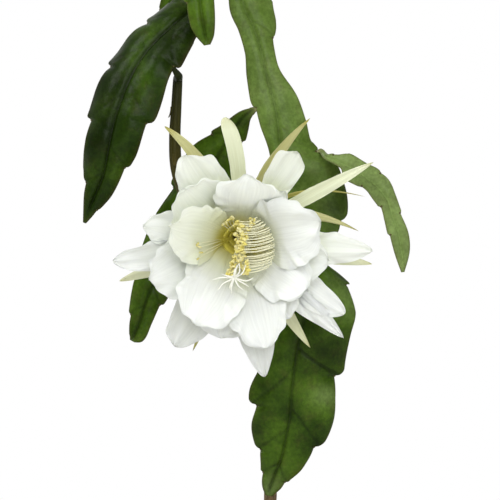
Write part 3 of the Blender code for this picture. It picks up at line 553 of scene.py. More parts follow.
def soil_height(x, y):
    """The compost's lumpy top, raised by noise and mounded a little towards the canes."""
    lumps = noise.noise(Vector((x, y, 0)) * 90) + 0.6 * noise.noise(Vector((y, x, 0.3)) * 210)
    mound = SOIL_MOUND * (1 - min(1, math.hypot(x, y) / 0.07) ** 2)
    return POT_HEIGHT - SOIL_DROP - 0.004 + mound + SOIL_RELIEF * lumps * 0.6


def soil_mesh():
    """The plug of compost, just inside the pot's wall, its top finely lumpy. A ring of its skin
    has a level, or none where it lies on the top."""
    base = POT_FLOOR + 0.5 * MM
    edge = POT_HEIGHT - SOIL_DROP - 0.012
    segments, rings = 96, 40
    points = [Vector((0, 0, base))]
    loops = []
    levels = [(pot_inner_radius(base) - MM, base), (pot_inner_radius(edge) - MM, edge)]
    reach = pot_inner_radius(edge + 0.006) - 0.8 * MM
    for radius, level in levels + [(reach * (1 - i / rings), None) for i in range(rings)]:
        loops.append(list(range(len(points), len(points) + segments)))
        for k in range(segments):
            angle = TAU * k / segments
            x, y = radius * math.cos(angle), radius * math.sin(angle)
            crumb = SOIL_CRUMB * noise.noise(Vector((x, y, 0.1)) * 700)
            top = soil_height(x, y) + crumb - 0.8 * MM
            points.append(Vector((x, y, top if level is None else level)))
    points.append(Vector((0, 0, soil_height(0, 0))))
    faces = bands(loops)
    for k in range(segments):
        n = (k + 1) % segments
        faces.append((0, loops[0][n], loops[0][k]))
        faces.append((loops[-1][k], loops[-1][n], len(points) - 1))
    return mesh_of("soil", [(points, faces, {"shade": [0.0] * len(points)})])


def bark_chip(length, rng):
    """One angular bark chip: the hull of a few points in a flat slab."""
    shape = bmesh.new()
    for _ in range(11):
        spot = Vector((rng.uniform(-0.5, 0.5), rng.uniform(-0.32, 0.32), rng.uniform(-0.13, 0.13)))
        shape.verts.new(spot * length)
    hull = bmesh.ops.convex_hull(shape, input=shape.verts)
    bmesh.ops.delete(shape, geom=hull["geom_interior"], context="VERTS")
    mesh = bpy.data.meshes.new("chip")
    shape.to_mesh(mesh)
    shape.free()
    return mesh


def composted_bark(settings):
    """Composted bark chips: dull, fibrous, dark where they are damp and tan on a broken face.
    The fibres, under 1 mm, are drawn 2.2 mm wide so that they show."""
    made, tree, shader = new_material("composted_bark", 0.9, Specular_IOR_Level=0.25)
    spot = add(tree, "ShaderNodeTexCoord", out="Object")
    fibre = add(tree, "ShaderNodeTexNoise", {"Scale": 1 / 0.0022, "Detail": 5, "Roughness": 0.7},
                {"Vector": spot})
    shade = add(tree, "ShaderNodeAttribute", attribute_name="shade", out="Fac")
    mixed = add(tree, "ShaderNodeMath", {1: 0.9}, {0: fibre, 2: shade}, operation="MULTIPLY_ADD")
    dryness = add(tree, "ShaderNodeMapRange", {1: 0.35, 2: 1.6}, {0: mixed})
    colour = add(tree, "ShaderNodeMix", {6: settings.bark_dark, 7: settings.bark_light}, {0: dryness},
                 data_type="RGBA", out=2)
    coat(tree, shader, colour, fibre, 0.8, 0.0005)
    return made


def chip_tree():
    """A tree that scatters chips over the upward faces of a shape and joins them to it."""
    inputs = [("Spacing", "Float"), ("Chips", "Collection"), ("Smallest", "Float"), ("Seed", "Int"),
              ("Finish", "Material")]
    tree, given = new_tree("scattered_bark", inputs)
    normal = add(tree, "GeometryNodeInputNormal")
    rise = add(tree, "ShaderNodeSeparateXYZ", links={0: normal}, out="Z")
    upward = add(tree, "FunctionNodeCompare", {1: 0.5}, {0: rise}, operation="GREATER_THAN")
    spots = add(tree, "GeometryNodeDistributePointsOnFaces", {"Density Max": CHIPS_PER_SQUARE_METRE},
                {"Mesh": given["Geometry"], "Selection": upward, "Distance Min": given["Spacing"],
                 "Seed": given["Seed"]}, distribute_method="POISSON").node.outputs
    chips = add(tree, "GeometryNodeCollectionInfo", {"Separate Children": True, "Reset Children": True},
                {"Collection": given["Chips"]})
    turn = spun(tree, spots["Rotation"], given["Seed"])
    size = add(tree, "FunctionNodeRandomValue", {3: 1}, {2: given["Smallest"], 8: given["Seed"]}, out=1)
    placed = add(tree, "GeometryNodeInstanceOnPoints", {"Pick Instance": True},
                 {"Points": spots["Points"], "Instance": chips, "Rotation": turn, "Scale": size})
    tone = add(tree, "FunctionNodeRandomValue", links={8: given["Seed"]}, out=1)
    toned = add(tree, "GeometryNodeStoreNamedAttribute", {"Name": "shade"},
                {"Geometry": placed, "Value": tone}, domain="INSTANCE")
    joined = add(tree, "GeometryNodeJoinGeometry", links={0: given["Geometry"]})
    tree.links.new(toned, joined.node.inputs[0])
    real = add(tree, "GeometryNodeRealizeInstances", links={0: joined})
    finish = add(tree, "GeometryNodeSetMaterial", links={"Geometry": real, "Material": given["Finish"]})
    tree.links.new(finish, tree.nodes.new("NodeGroupOutput").inputs[0])
    return tree


def make_compost(settings):
    """The compost: a lumpy plug and the bark chips that lie on it."""
    rng = random.Random(5)
    chips = bpy.data.collections.new("chips")
    for k in range(CHIP_SHAPES):
        chips.objects.link(bpy.data.objects.new(f"chip_{k}", bark_chip(settings.chip, rng)))
    values = {"Spacing": settings.chip_spacing, "Chips": chips, "Smallest": 0.25, "Seed": 4,
              "Finish": composted_bark(settings)}
    mesh = grown(soil_mesh(), chip_tree(), values)
    for item in list(chips.objects):
        bpy.data.objects.remove(item)
    bpy.data.collections.remove(chips)
    mesh.set_sharp_from_angle(angle=math.radians(35))
    dress("bark_compost", "compost", "compost", mesh)


# Canes: woody round stems. Each row is a place (across, up, depth) and a radius, in mm.


CANES = {
    "cane_front": [
        (14, -215, -2, 4.6), (14, -190, -4, 4.5), (15, -150, -6, 4.4), (20, -95, -8, 4.3),
        (24, -20, -8, 4.2), (24, 50, -8, 4.0), (14, 110, -8, 3.9), (5, 165, -8, 3.7),
        (0, 205, -8, 3.4), (-2, 222, -16, 3.0),
    ],
    "cane_back": [
        (14, -215, 16, 4.9), (14, -190, 15, 4.8), (15, -150, 13, 4.7), (20, -95, 12, 4.5),
        (25, -20, 11, 4.3), (25, 55, 10, 4.1), (13, 120, 9, 4.0), (1, 175, 8, 3.8),
        (-9, 212, 6, 3.5), (-16, 228, 0, 3.0),
    ],
}
CANE_NODE_SPACING = 0.031
CANE_RINGS = 420
CANE_SIDES = 24
CANE_SWELLING = 0.10
CANE_FLUTE = 0.03


def cane_rows(name):
    """The cane's rows in metres, from its root in the compost to its tip."""
    rows = [(*place(*row[:3]), row[3] * MM) for row in CANES[name]]
    x, y, _, radius = rows[0]
    low = POT_HEIGHT - SOIL_DROP - CANE_ROOT_DEPTH
    return [(x, y, low, radius), (x, y, POT_HEIGHT - SOIL_DROP + 0.008, radius)] + rows[1:]


def corky_bark(settings):
    """Bark of an old cactus cane: corky and tan low down, still green and smooth near the top."""
    made, tree, shader = new_material("corky_bark", 0.72, Specular_IOR_Level=0.35)
    spot = add(tree, "ShaderNodeTexCoord", out="Object")
    stretched = add(tree, "ShaderNodeMapping", {"Scale": (1, 1, 0.22)}, {0: spot})
    fissure = add(tree, "ShaderNodeTexNoise", {"Scale": 1 / 0.0016, "Detail": 4, "Roughness": 0.65},
                  {"Vector": stretched})
    patch = add(tree, "ShaderNodeTexNoise", {"Scale": 1 / 0.016, "Detail": 3}, {"Vector": spot})
    age = add(tree, "ShaderNodeAttribute", attribute_name="along", out="Fac")
    mixed = add(tree, "ShaderNodeMath", {1: 0.7}, {0: patch, 2: age}, operation="MULTIPLY_ADD")
    green = add(tree, "ShaderNodeMapRange", {1: 0.65, 2: 1.15}, {0: mixed})
    skin = add(tree, "ShaderNodeMix", {6: settings.bark, 7: settings.green_bark}, {0: green},
               data_type="RGBA", out=2)
    crack = add(tree, "ShaderNodeMapRange", {1: 0.32, 2: 0.6, 3: 0.5, 4: 1.12}, {0: fissure})
    colour = add(tree, "ShaderNodeVectorMath", links={0: skin, 3: crack}, operation="SCALE")
    coat(tree, shader, colour, fissure, 0.7, 0.0004)
    return made


def make_canes(settings):
    """Both canes, each with swollen nodes and an uneven, fluted bark."""
    finish = corky_bark(settings)
    for name in CANES:
        rows = cane_rows(name)
        centres, radii, shares = sampled(rows, CANE_RINGS)
        run = np.cumsum([0] + [(b - a).length for a, b in zip(centres, centres[1:])])

        def uneven(i, angle):
            phase = run[i] / CANE_NODE_SPACING
            swell = CANE_SWELLING * math.exp(-((phase - round(phase)) / 0.09) ** 2)
            spot = Vector((math.cos(angle), math.sin(angle), run[i] * 60))
            flute = CANE_FLUTE * math.cos(4 * angle + run[i] * 20)
            return 0.96 + swell + flute + 0.05 * noise.noise(spot * 1.7)

        skin = round_skin(centres, radii, CANE_SIDES, {"along": shares}, uneven)
        dress(name + "_bark", name, "cane", mesh_of(name + "_bark", [skin]), finish)


# Cladodes: flat leaf-like stems. Each row is a place on the midrib (across, up, depth) and the
# blade's width to its left and its right there, in mm. A blade grows from a place along a cane,
# from another blade's tip or from its notch. A place along a blade is counted in rows, from the
# first of the two that prepare_cladodes puts before these: its notches at the left and right,
# where its face looks which way, its crease and its painted zones. Bulge and fold are shares of
# the half-width. Youth runs from -1 to 1: above 0 the skin is a younger, lighter green, and below 0
# the whole blade is painted darker, as older skin and as painted shade. Veins is how strong the
# side veins are. A crease is a notch, its vein's weight and how far back that starts. A painted
# zone is a place along and across, its reach both ways and its depth of colour: above 0 it is
# painted shade, below 0 a pale painted sheen.


CLADODES = {
    "cladode_left": {
        "from_cane": ("cane_back", 10),
        "rows": [
            (-27, 220, -34, 2.6, 2.6), (-35, 196, -54, 12, 10), (-41, 170, -66, 20, 16),
            (-54, 157, -71, 22, 19), (-72, 139, -76, 22.5, 26.5), (-84, 119, -80, 24, 26),
            (-94, 92, -83, 22.5, 24.5), (-99, 70, -83, 19.5, 18.5), (-102.5, 52, -81, 16.5, 12.5),
            (-109, 37, -79, 8.5, 8.5), (-116, 19, -77, 0.8, 0.8),
        ],
        "left": [3.3, 5.35, 6.8, 8.2, 10.6], "right": [3.2, 5.9, 7.9, 9.55, 11.4],
        "faces": [(0, (-0.2, -0.5, 1)), (4, (-0.4, -1, 0.5)), (12, (-0.15, -1, 0))],
        "bulge": 0.1, "fold": 0.2, "youth": -0.5, "veins": 0.45,
        "painted_zones": [(4.6, 0.7, 1.5, 0.7, 1.2), (8, -0.6, 1.5, 0.6, 0.8), (5.9, -0.25, 0.5, 0.25, -0.6),
                  (6.6, 0.45, 0.55, 0.3, -0.6), (10.6, 0.2, 1.6, 0.9, 0.3)],
    },
    "cladode_tongue": {
        "from_cane": ("cane_back", 9.2),
        "rows": [
            (-18, 229, -38, 2.2, 2.2), (-30, 222, -66, 6, 6), (-35, 200, -86, 10, 10),
            (-35, 178, -96, 11, 10.5), (-33, 160, -99, 9.5, 8.5), (-31, 150, -99, 6, 5.5),
            (-30, 143.5, -99, 1.8, 1.8),
        ],
        "left": [3.6, 5.2], "right": [3.1, 4.7],
        "faces": [(0, (0, -0.3, 1)), (3, (-0.1, -1, 0.5)), (8, (-0.1, -1, 0))],
        "bulge": 0.08, "fold": 0.15, "youth": 0.16,
    },
    "cladode_right": {
        "from_cane": ("cane_front", 10),
        "rows": [
            (-5, 216, -40, 3, 3), (-7, 195, -52, 8, 11), (-4.5, 171, -57, 11, 21),
            (2, 157, -60, 11, 17), (7.5, 140, -62, 11, 11), (11, 124.5, -64, 13, 10.5),
            (16.5, 104, -66, 15, 17.5), (19.5, 88, -67, 13, 20), (22, 70, -68, 8.5, 22.5),
            (29, 50, -68, 14, 35), (38, 31.5, -67, 18, 32), (43.5, 15.5, -66, 16, 25),
            (46, 5, -65, 11, 13), (47.5, -3, -64, 1.6, 1.6),
        ],
        "left": [3.4, 8.1, 12.2], "right": [5.65, 10.4, 13.1],
        "faces": [(0, (0, -0.3, 1)), (3, (0.1, -1, 0.2)), (15, (0.05, -1, 0))],
        "bulge": 0.06, "fold": 0.12, "youth": 0.5, "crease": (5.65, 1.8, 0.9),
        "painted_zones": [(12.5, 0.8, 1, 0.5, 0.9), (11.2, 0.2, 0.8, 0.4, 0.4), (7.3, 0.1, 1.2, 0.8, -0.7)],
    },
    "cladode_low": {
        "from_tip": "cladode_right",
        "rows": [
            (48, -9, -63, 3, 5), (46, -20, -64, 14, 28), (42, -34, -66, 20, 36),
            (37.5, -52, -67, 22, 35), (33, -70, -67, 19, 35), (30.5, -87, -66, 24.5, 34.5),
            (29, -101.5, -65, 28.5, 33), (28, -115.5, -64, 27, 31.5),
            (25.5, -129.5, -62, 25, 27), (22, -145.5, -60, 17.5, 18), (17.5, -157, -59, 10.5, 11),
            (14.5, -165.5, -58, 6.5, 7), (13, -172, -58, 2.2, 2.2),
        ],
        "left": [3, 5.3, 8.6, 10.9, 12.2], "right": [2.9, 6.9, 10.3, 12.3],
        "faces": [(0, (0.1, -1, 0)), (7, (0.1, -1, 0.1)), (14, (-0.1, -1, 0))],
        "bulge": 0.1, "fold": 0.14, "youth": 0.06, "crease": (6.9, 2, 1),
        "painted_zones": [(5.9, 0.65, 0.9, 0.6, 0.9), (5, -0.1, 1.2, 0.4, 0.4), (8.7, -0.8, 1.6, 0.4, 0.5),
                  (7.9, 0.75, 0.55, 0.32, -0.95), (3.6, 0.75, 0.9, 0.45, -0.7), (13.4, 0, 1.2, 1, -0.9),
                  (9.9, 0.85, 0.6, 0.3, 0.4)],
    },
    "cladode_middle": {
        "from_notch": ("cladode_right", "left", 8.1),
        "rows": [
            (-5, 92.5, -58, 5, 6), (-13, 81, -50, 9.5, 10.5), (-24, 63, -43, 20, 16),
            (-38, 36, -40, 21, 19), (-50.5, 8, -40, 23, 19), (-63, -15.5, -42, 18, 14),
            (-71.5, -33.5, -44, 13, 11.5), (-76.5, -49, -45, 9, 8.5), (-81, -60, -46, 4, 7),
            (-83, -63.5, -46, 1, 2),
        ],
        "left": [3.4, 5, 7, 8.9], "right": [3, 4.6, 6.2, 8.1],
        "faces": [(0, (0, -1, 0)), (11, (-0.2, -1, 0.1))],
        "bulge": 0.08, "fold": 0.15, "youth": 0.11,
        "painted_zones": [(4.6, 0.6, 1.3, 0.6, 0.4), (8.4, -0.5, 1.2, 0.6, 0.3)],
    },
    "cladode_side": {
        "from_notch": ("cladode_right", "right", 10.4),
        "rows": [
            (53, 65, -75, 1.8, 3), (60, 62, -77, 2.4, 5.5), (65, 60, -77, 3.5, 8),
            (68.5, 58.5, -77, 9, 9), (77.5, 53, -76, 9, 9), (88, 45, -73, 8.7, 10.5),
            (96, 35, -73, 7.8, 6.8), (100, 23, -72, 6.5, 6.5), (104.5, 10, -71, 7.3, 6.5),
            (106, -2, -70, 4.6, 5.4), (107, -15.5, -69, 0.7, 0.7),
        ],
        "left": [6.3, 8.2, 9.8], "right": [2.6, 6.8, 8.9],
        "faces": [(0, (0.1, -1, 0.3)), (6, (0.3, -1, 0.3)), (12, (0.1, -1, 0))],
        "bulge": 0.08, "fold": -0.12, "youth": 0.97,
    },
    "cladode_back_long": {
        "from_cane": ("cane_back", 8.1),
        "rows": [
            (4, 190, 34, 2.6, 2.6), (7, 188, 58, 9, 9), (10, 166, 84, 17, 17),
            (13, 130, 96, 21, 22), (19, 92, 100, 20, 21), (24, 56, 96, 15, 15),
            (25, 30, 90, 8, 9), (25, 16, 86, 0.8, 0.8),
        ],
        "left": [3.2, 4.4, 5.5, 6.6], "right": [2.7, 3.8, 5, 6.1, 7.2],
        "faces": [(0, (1, 0.2, 0.4)), (3, (1, 0, 0.05)), (9, (1, 0.3, 0))],
        "bulge": 0.08, "fold": 0.12, "youth": 0.25,
    },
    "cladode_back_low": {
        "from_cane": ("cane_back", 5.2),
        "rows": [
            (16, 14, 38, 2.4, 2.4), (9, 10, 58, 11, 11), (2, -4, 78, 16, 17),
            (-5, -24, 92, 16, 16), (-9, -44, 98, 9, 9), (-11, -58, 100, 0.8, 0.8),
        ],
        "left": [2.8, 4, 5.2], "right": [3.4, 4.6, 5.8],
        "faces": [(0, (0.3, 0.2, 1)), (4, (0, 1, 0.6)), (7, (0, 1, 0.1))],
        "bulge": 0.08, "fold": 0.14, "youth": 0.1,
    },
    "cladode_crown_right": {
        "from_cane": ("cane_front", 9),
        "rows": [
            (16, 222, 6, 2.6, 2.6), (32, 236, 18, 9, 9), (52, 243, 30, 15, 16),
            (72, 236, 40, 17, 18), (86, 218, 46, 13, 13), (93, 202, 48, 8, 7.5),
            (96, 190, 48, 0.8, 0.8),
        ],
        "left": [3, 4.2, 5.3, 6.4], "right": [2.6, 3.7, 4.8, 5.8],
        "faces": [(0, (-0.2, -0.3, 1)), (4, (0.3, -0.4, 1)), (8, (1, -0.6, 0.3))],
        "bulge": 0.08, "fold": 0.16, "youth": 0.45,
    },
    "cladode_back_left": {
        "from_cane": ("cane_back", 8.9),
        "rows": [
            (-28, 226, 20, 2.6, 2.6), (-38, 230, 36, 8, 8), (-46, 214, 52, 13, 9),
            (-54, 184, 62, 13, 6), (-64, 150, 66, 14, 6), (-80, 114, 68, 16, 13),
            (-92, 86, 67, 14, 13), (-99, 62, 64, 8, 8), (-103, 50, 61, 0.8, 0.8),
        ],
        "left": [2.8, 3.9, 5, 6.1, 7.2, 8.3], "right": [3.3, 4.4, 5.5, 6.7, 7.8],
        "faces": [(0, (0.2, -0.1, 1)), (4, (0.2, 1, 0.8)), (8, (0.3, 1, 0.1))],
        "bulge": 0.08, "fold": 0.14, "youth": 0.28,
    },
    "cladode_young": {
        "from_cane": ("cane_front", 9.55),
        "rows": [
            (12, 218, -20, 2.2, 2.2), (14, 240, -14, 5, 5), (16, 262, -6, 8.5, 8.5),
            (20, 284, 6, 8, 8.5), (25, 300, 18, 4, 4), (28, 308, 25, 0.8, 0.8),
        ],
        "left": [3.2, 4.8], "right": [2.7, 4.1, 5.4],
        "faces": [(0, (0.3, -1, 0.1)), (7, (0.5, -1, 0.3))],
        "bulge": 0.06, "fold": 0.14, "youth": 1,
    },
}
STALK_GAP = 0.8 * MM
STALK_RADIUS = 1.8 * MM
FIRST_LOBE = 1.2
NOTCH_DEPTH = 0.2
LOBE_END = 0.91
MARGIN_WAVE = 0.10
CLADODE_STEP = 0.05
# Shares of the half-width, closer together at the midrib and at the margin.
HALF_COLUMNS = (0, 0.03, 0.06, 0.1, 0.145, *(0.2 + 0.055 * k for k in range(13)), 0.91, 0.95, 0.98)
BOW_ANGLES = (math.pi * 0.28, math.pi * 0.5, math.pi * 0.72)
VEIN_WIDTH = 1.0 * MM
VEIN_LEAN = 1.05
MIDRIB_WIDTH = 1.3 * MM
MIDRIB_GROOVE = 1.1 * MM
FULL_RELIEF = 14 * MM
HORNY_EDGE = 0.8 * MM


def lobe_phase(t, notches, last):
    """How far t lies through its lobe: 0 just after a notch, 1 at the next one."""
    marks = [FIRST_LOBE] + notches + [last + 0.3]
    for a, b in zip(marks, marks[1:]):
        if a <= t < b:
            return (t - a) / (b - a)
    return 0.5


def lobe_share(t, notches, last):
    """The share of the blade's width that its lobes leave at t, each lobe round at its end."""
    if t <= FIRST_LOBE:
        return 1
    u = lobe_phase(t, notches, last)
    rise = NOTCH_DEPTH * (1 - (1 - u) ** 2)
    if u > LOBE_END:
        rise *= math.sqrt(max(0, 1 - ((u - LOBE_END) / (1 - LOBE_END)) ** 2))
    return 1.06 - NOTCH_DEPTH + rise


def facing(table, t):
    """The way that a blade's face looks at t."""
    parts = [between([(at, v[k]) for at, v in table], t) for k in range(3)]
    return Vector(parts).normalized()


def blade_frame(spec, t):
    """The midrib's place at t, the way across the blade, its normal and its two half-widths."""
    x, y, z, left, right = along(spec["path"], t)
    heading = heading_of(spec["path"], t)
    side = facing(spec["faces"], t).cross(heading).normalized()
    return Vector((x, y, z)), side, heading.cross(side).normalized(), (left, right)


def blade_point(spec, t, v, station):
    """The middle of the blade at t along and v across (-1 left, 1 right), and its half-width."""
    middle, side, normal, halves = station
    notches = spec["right"] if v > 0 else spec["left"]
    half = max(halves[v > 0], 0.4 * MM)
    last = len(spec["path"]) - 1
    share = 1 + (lobe_share(t, notches, last) - 1) * abs(v)
    wave = MARGIN_WAVE * math.sin(TAU * lobe_phase(t, notches, last)) * abs(v) ** 3
    lift = spec["bulge"] * math.sin(math.pi * abs(v)) - spec["fold"] * v * v + wave
    return middle + side * half * share * v + normal * half * lift, half


def margin_start(parent, side, t, lean):
    """The place just outside a blade's margin and the way out of it, leaning forward or back."""
    v = -1 if side == "left" else 1
    station = blade_frame(CLADODES[parent], t)
    edge, _ = blade_point(CLADODES[parent], t, v, station)
    inner, _ = blade_point(CLADODES[parent], t, v * 0.9, station)
    out = (edge - inner).normalized()
    return edge + out * STALK_GAP, (out + station[2] * lean).normalized()


def prepare_cladodes():
    """Turn each blade's rows into metres, starting where it grows from its parent."""
    for spec in CLADODES.values():
        rows = [(*place(*row[:3]), row[3] * MM, row[4] * MM) for row in spec["rows"]]
        first = Vector(rows[0][:3])
        if "from_cane" in spec:
            name, t = spec["from_cane"]
            cane = cane_rows(name)
            found = along(cane, t)
            start, heading = Vector(found[:3]), heading_of(cane, t)
            out = heading
            if t < len(cane) - 1:
                out = first - start
                out = (out - heading * out.dot(heading)).normalized()
                start += out * (found[3] - MM)
        elif "from_tip" in spec:
            start = Vector(CLADODES[spec["from_tip"]]["path"][-1][:3])
            out = (first - start).normalized()
        else:
            parent, side, t = spec["from_notch"]
            start, out = margin_start(parent, side, t + 0.08, 0.35)
            start -= out * 1.5 * MM
        in_notch = "from_notch" in spec
        near = start + out * min(6 * MM, (first - start).length * (0.2 if in_notch else 0.4))
        foot = MM if in_notch else STALK_RADIUS
        spec["path"] = [(*start, foot, foot), (*near, STALK_RADIUS, STALK_RADIUS)] + rows


def vein_lines(spec):
    """Each side's veins: where one meets the margin, how far back it starts, and its weight."""
    found = []
    last = len(spec["path"]) - 1
    crease, crease_weight, crease_back = spec.get("crease", (0, 1, 1))
    for side, notches in ((3, spec["left"]), (4, spec["right"])):
        lines = [(0.4, 0.6, 1)]
        for notch in notches:
            row = along(spec["path"], notch)
            pace = np.linalg.norm(row[:3] - along(spec["path"], notch - 1)[:3])
            plain = (notch, min(VEIN_LEAN * row[side] / pace, 2.2), spec.get("veins", 1))
            lines.append((notch, crease_back, crease_weight) if notch == crease else plain)
        found.append(lines + [(last + 0.8, 1.4, 1)])
    return found


def blade_relief(t, u, lines, pace):
    """How strong the nearest vein is at t along and u out, and how full the swelling there."""
    spots = [notch - back * (1 - u) ** 1.2 for notch, back, _ in lines]
    vein, swell = 0, 0
    for k, (a, b) in enumerate(zip(spots, spots[1:])):
        if a <= t < b:
            swell = math.sin(math.pi * (t - a) / (b - a)) ** 0.8
            gaps = ([(t - a, lines[k][2])] if k else [])
            gaps += ([(b - t, lines[k + 1][2])] if k < len(spots) - 2 else [])
            gap, weight = min(gaps, default=(9, 1))
            vein = weight * math.exp(-((gap * pace * 0.75 / VEIN_WIDTH) ** 2))
    return vein * min(1, (1 - u) / 0.06), swell


def painted_shade_and_sheen(spec, t, v):
    """How much painted shade (above 0) or painted sheen (below 0) a blade's skin has at t along and v
    across; a blade whose youth is below 0 is in painted shade all over.
    """
    # Painted shade over the whole of a blade whose youth is below 0, then the painted zones.
    shade = max(0, -spec["youth"])
    for at, across, reach, width, depth in spec.get("painted_zones", ()):
        shade += depth * math.exp(-(((t - at) / reach) ** 2) - ((v - across) / width) ** 2)
    return shade


def margin_bow(front, back, end, inner):
    """The points that round off a blade's margin, from its front face to its back."""
    out = (front[end] - front[inner]).normalized()
    through = front[end] - back[end]
    centre, radius, up = (front[end] + back[end]) / 2, through.length / 2, through.normalized()
    return [centre + out * radius * math.sin(a) + up * radius * math.cos(a) for a in BOW_ANGLES]


def blade_skin(spec, settings):
    """The closed skin of a flat stem, its veins sunk and its blade swollen between them."""
    last = len(spec["path"]) - 1
    veins = vein_lines(spec)
    columns = [-u for u in reversed(HALF_COLUMNS[1:])] + list(HALF_COLUMNS)
    rings = []
    marks = {"vein": [], "rim": [], "youth": [], "shade": [], "scar": []}
    count = int(last / CLADODE_STEP)
    previous = None
    for i in range(count + 1):
        t = last * i / count
        station = blade_frame(spec, t)
        middle, _, normal, _ = station
        pace = (middle - previous).length / (last / count) if previous else 0.01
        previous = middle
        rib = between([(0, 2.2), (2, settings.rib / MM), (last - 2, 2.6), (last, 1.4)], t) * MM
        ends = min(1, t / 1.5, (last - t) / 0.8)
        front, back, sunk, rims, painted_shade_sheen = [], [], [], [], []
        for v in columns:
            u = abs(v)
            point, half = blade_point(spec, t, v, station)
            vein, swell = blade_relief(t, u, veins[v > 0], pace)
            wide = min(1, half / FULL_RELIEF) * ends * (1 - 0.5 * spec["youth"])
            groove = math.exp(-((u * half / MIDRIB_WIDTH) ** 2)) * ends
            # The blade swells between its veins, is sunk at them, and is never quite flat.
            lift = settings.pillow * swell * wide * 4 * u * (1 - u) - settings.vein_depth * vein * wide
            lift += (0.7 * noise.noise(point * 60) + 0.12 * noise.noise(point * 260)) * MM * wide
            # The midrib stands out mostly at the back, and lies in a groove at the front.
            extra = (rib - settings.edge) / 2
            thick = settings.edge * (0.42 + 0.08 * (1 - u))
            lift_front = thick + extra * 0.5 * (1 - u) ** 2 - MIDRIB_GROOVE * groove
            lift_back = thick + extra * (1.5 * (1 - u) ** 3.5 + 0.2 * groove)
            front.append(point + normal * (lift + lift_front))
            back.append(point + normal * (lift - lift_back))
            # The vein mark paints shade into the sunk veins and the midrib's groove of older blades; on the
            # youngest blade it paints them paler.
            sunk.append(max(vein * wide, groove) * (1 - 1.5 * max(0, spec["youth"])))
            rims.append(math.exp(-((1 - u) * half / HORNY_EDGE)))
            # Painted shade and painted sheen from the blade's zones.
            painted_shade_sheen.append(painted_shade_and_sheen(spec, t, v))
        right_bow, left_bow = margin_bow(front, back, -1, -2), margin_bow(front, back, 0, 1)
        ring = front + right_bow + back[::-1] + left_bow[::-1]
        rings.append(ring)
        marks["vein"] += sunk + [0] * 3 + [s * 0.6 for s in sunk[::-1]] + [0] * 3
        marks["rim"] += rims + [1] * 3 + rims[::-1] + [1] * 3
        marks["youth"] += [max(0, spec["youth"])] * len(ring)
        # The shade mark carries the painted shade (above 0) and the painted sheen (below 0).
        marks["shade"] += painted_shade_sheen + [painted_shade_sheen[-1]] * 3 + painted_shade_sheen[::-1] + [painted_shade_sheen[0]] * 3
        marks["scar"] += [math.exp(-((t / 0.9) ** 2))] * len(ring)
    return loft(rings, marks)


def felt_skins(spec):
    """Small felted cushions, one in each notch, where spines or buds grow."""
    skins = []
    for v, notches in ((-0.99, spec["left"]), (0.99, spec["right"])):
        for notch in notches:
            station = blade_frame(spec, notch)
            centre, half = blade_point(spec, notch + 0.01, v, station)
            if half < 3 * MM:
                continue
            out = station[1] * (1 if v > 0 else -1)
            ends = [centre + out * s * 1.1 * MM for s in (-1, -0.5, 0, 0.5, 0.9)]
            radii = [0.35 * MM, 0.8 * MM, 0.95 * MM, 0.7 * MM, 0.25 * MM]
            plain = {key: [0] * 5 for key in ("vein", "shade", "scar")}
            skins.append(round_skin(ends, radii, 8, {**plain, "rim": [2.0] * 5, "youth": [0.5] * 5}))
    return skins


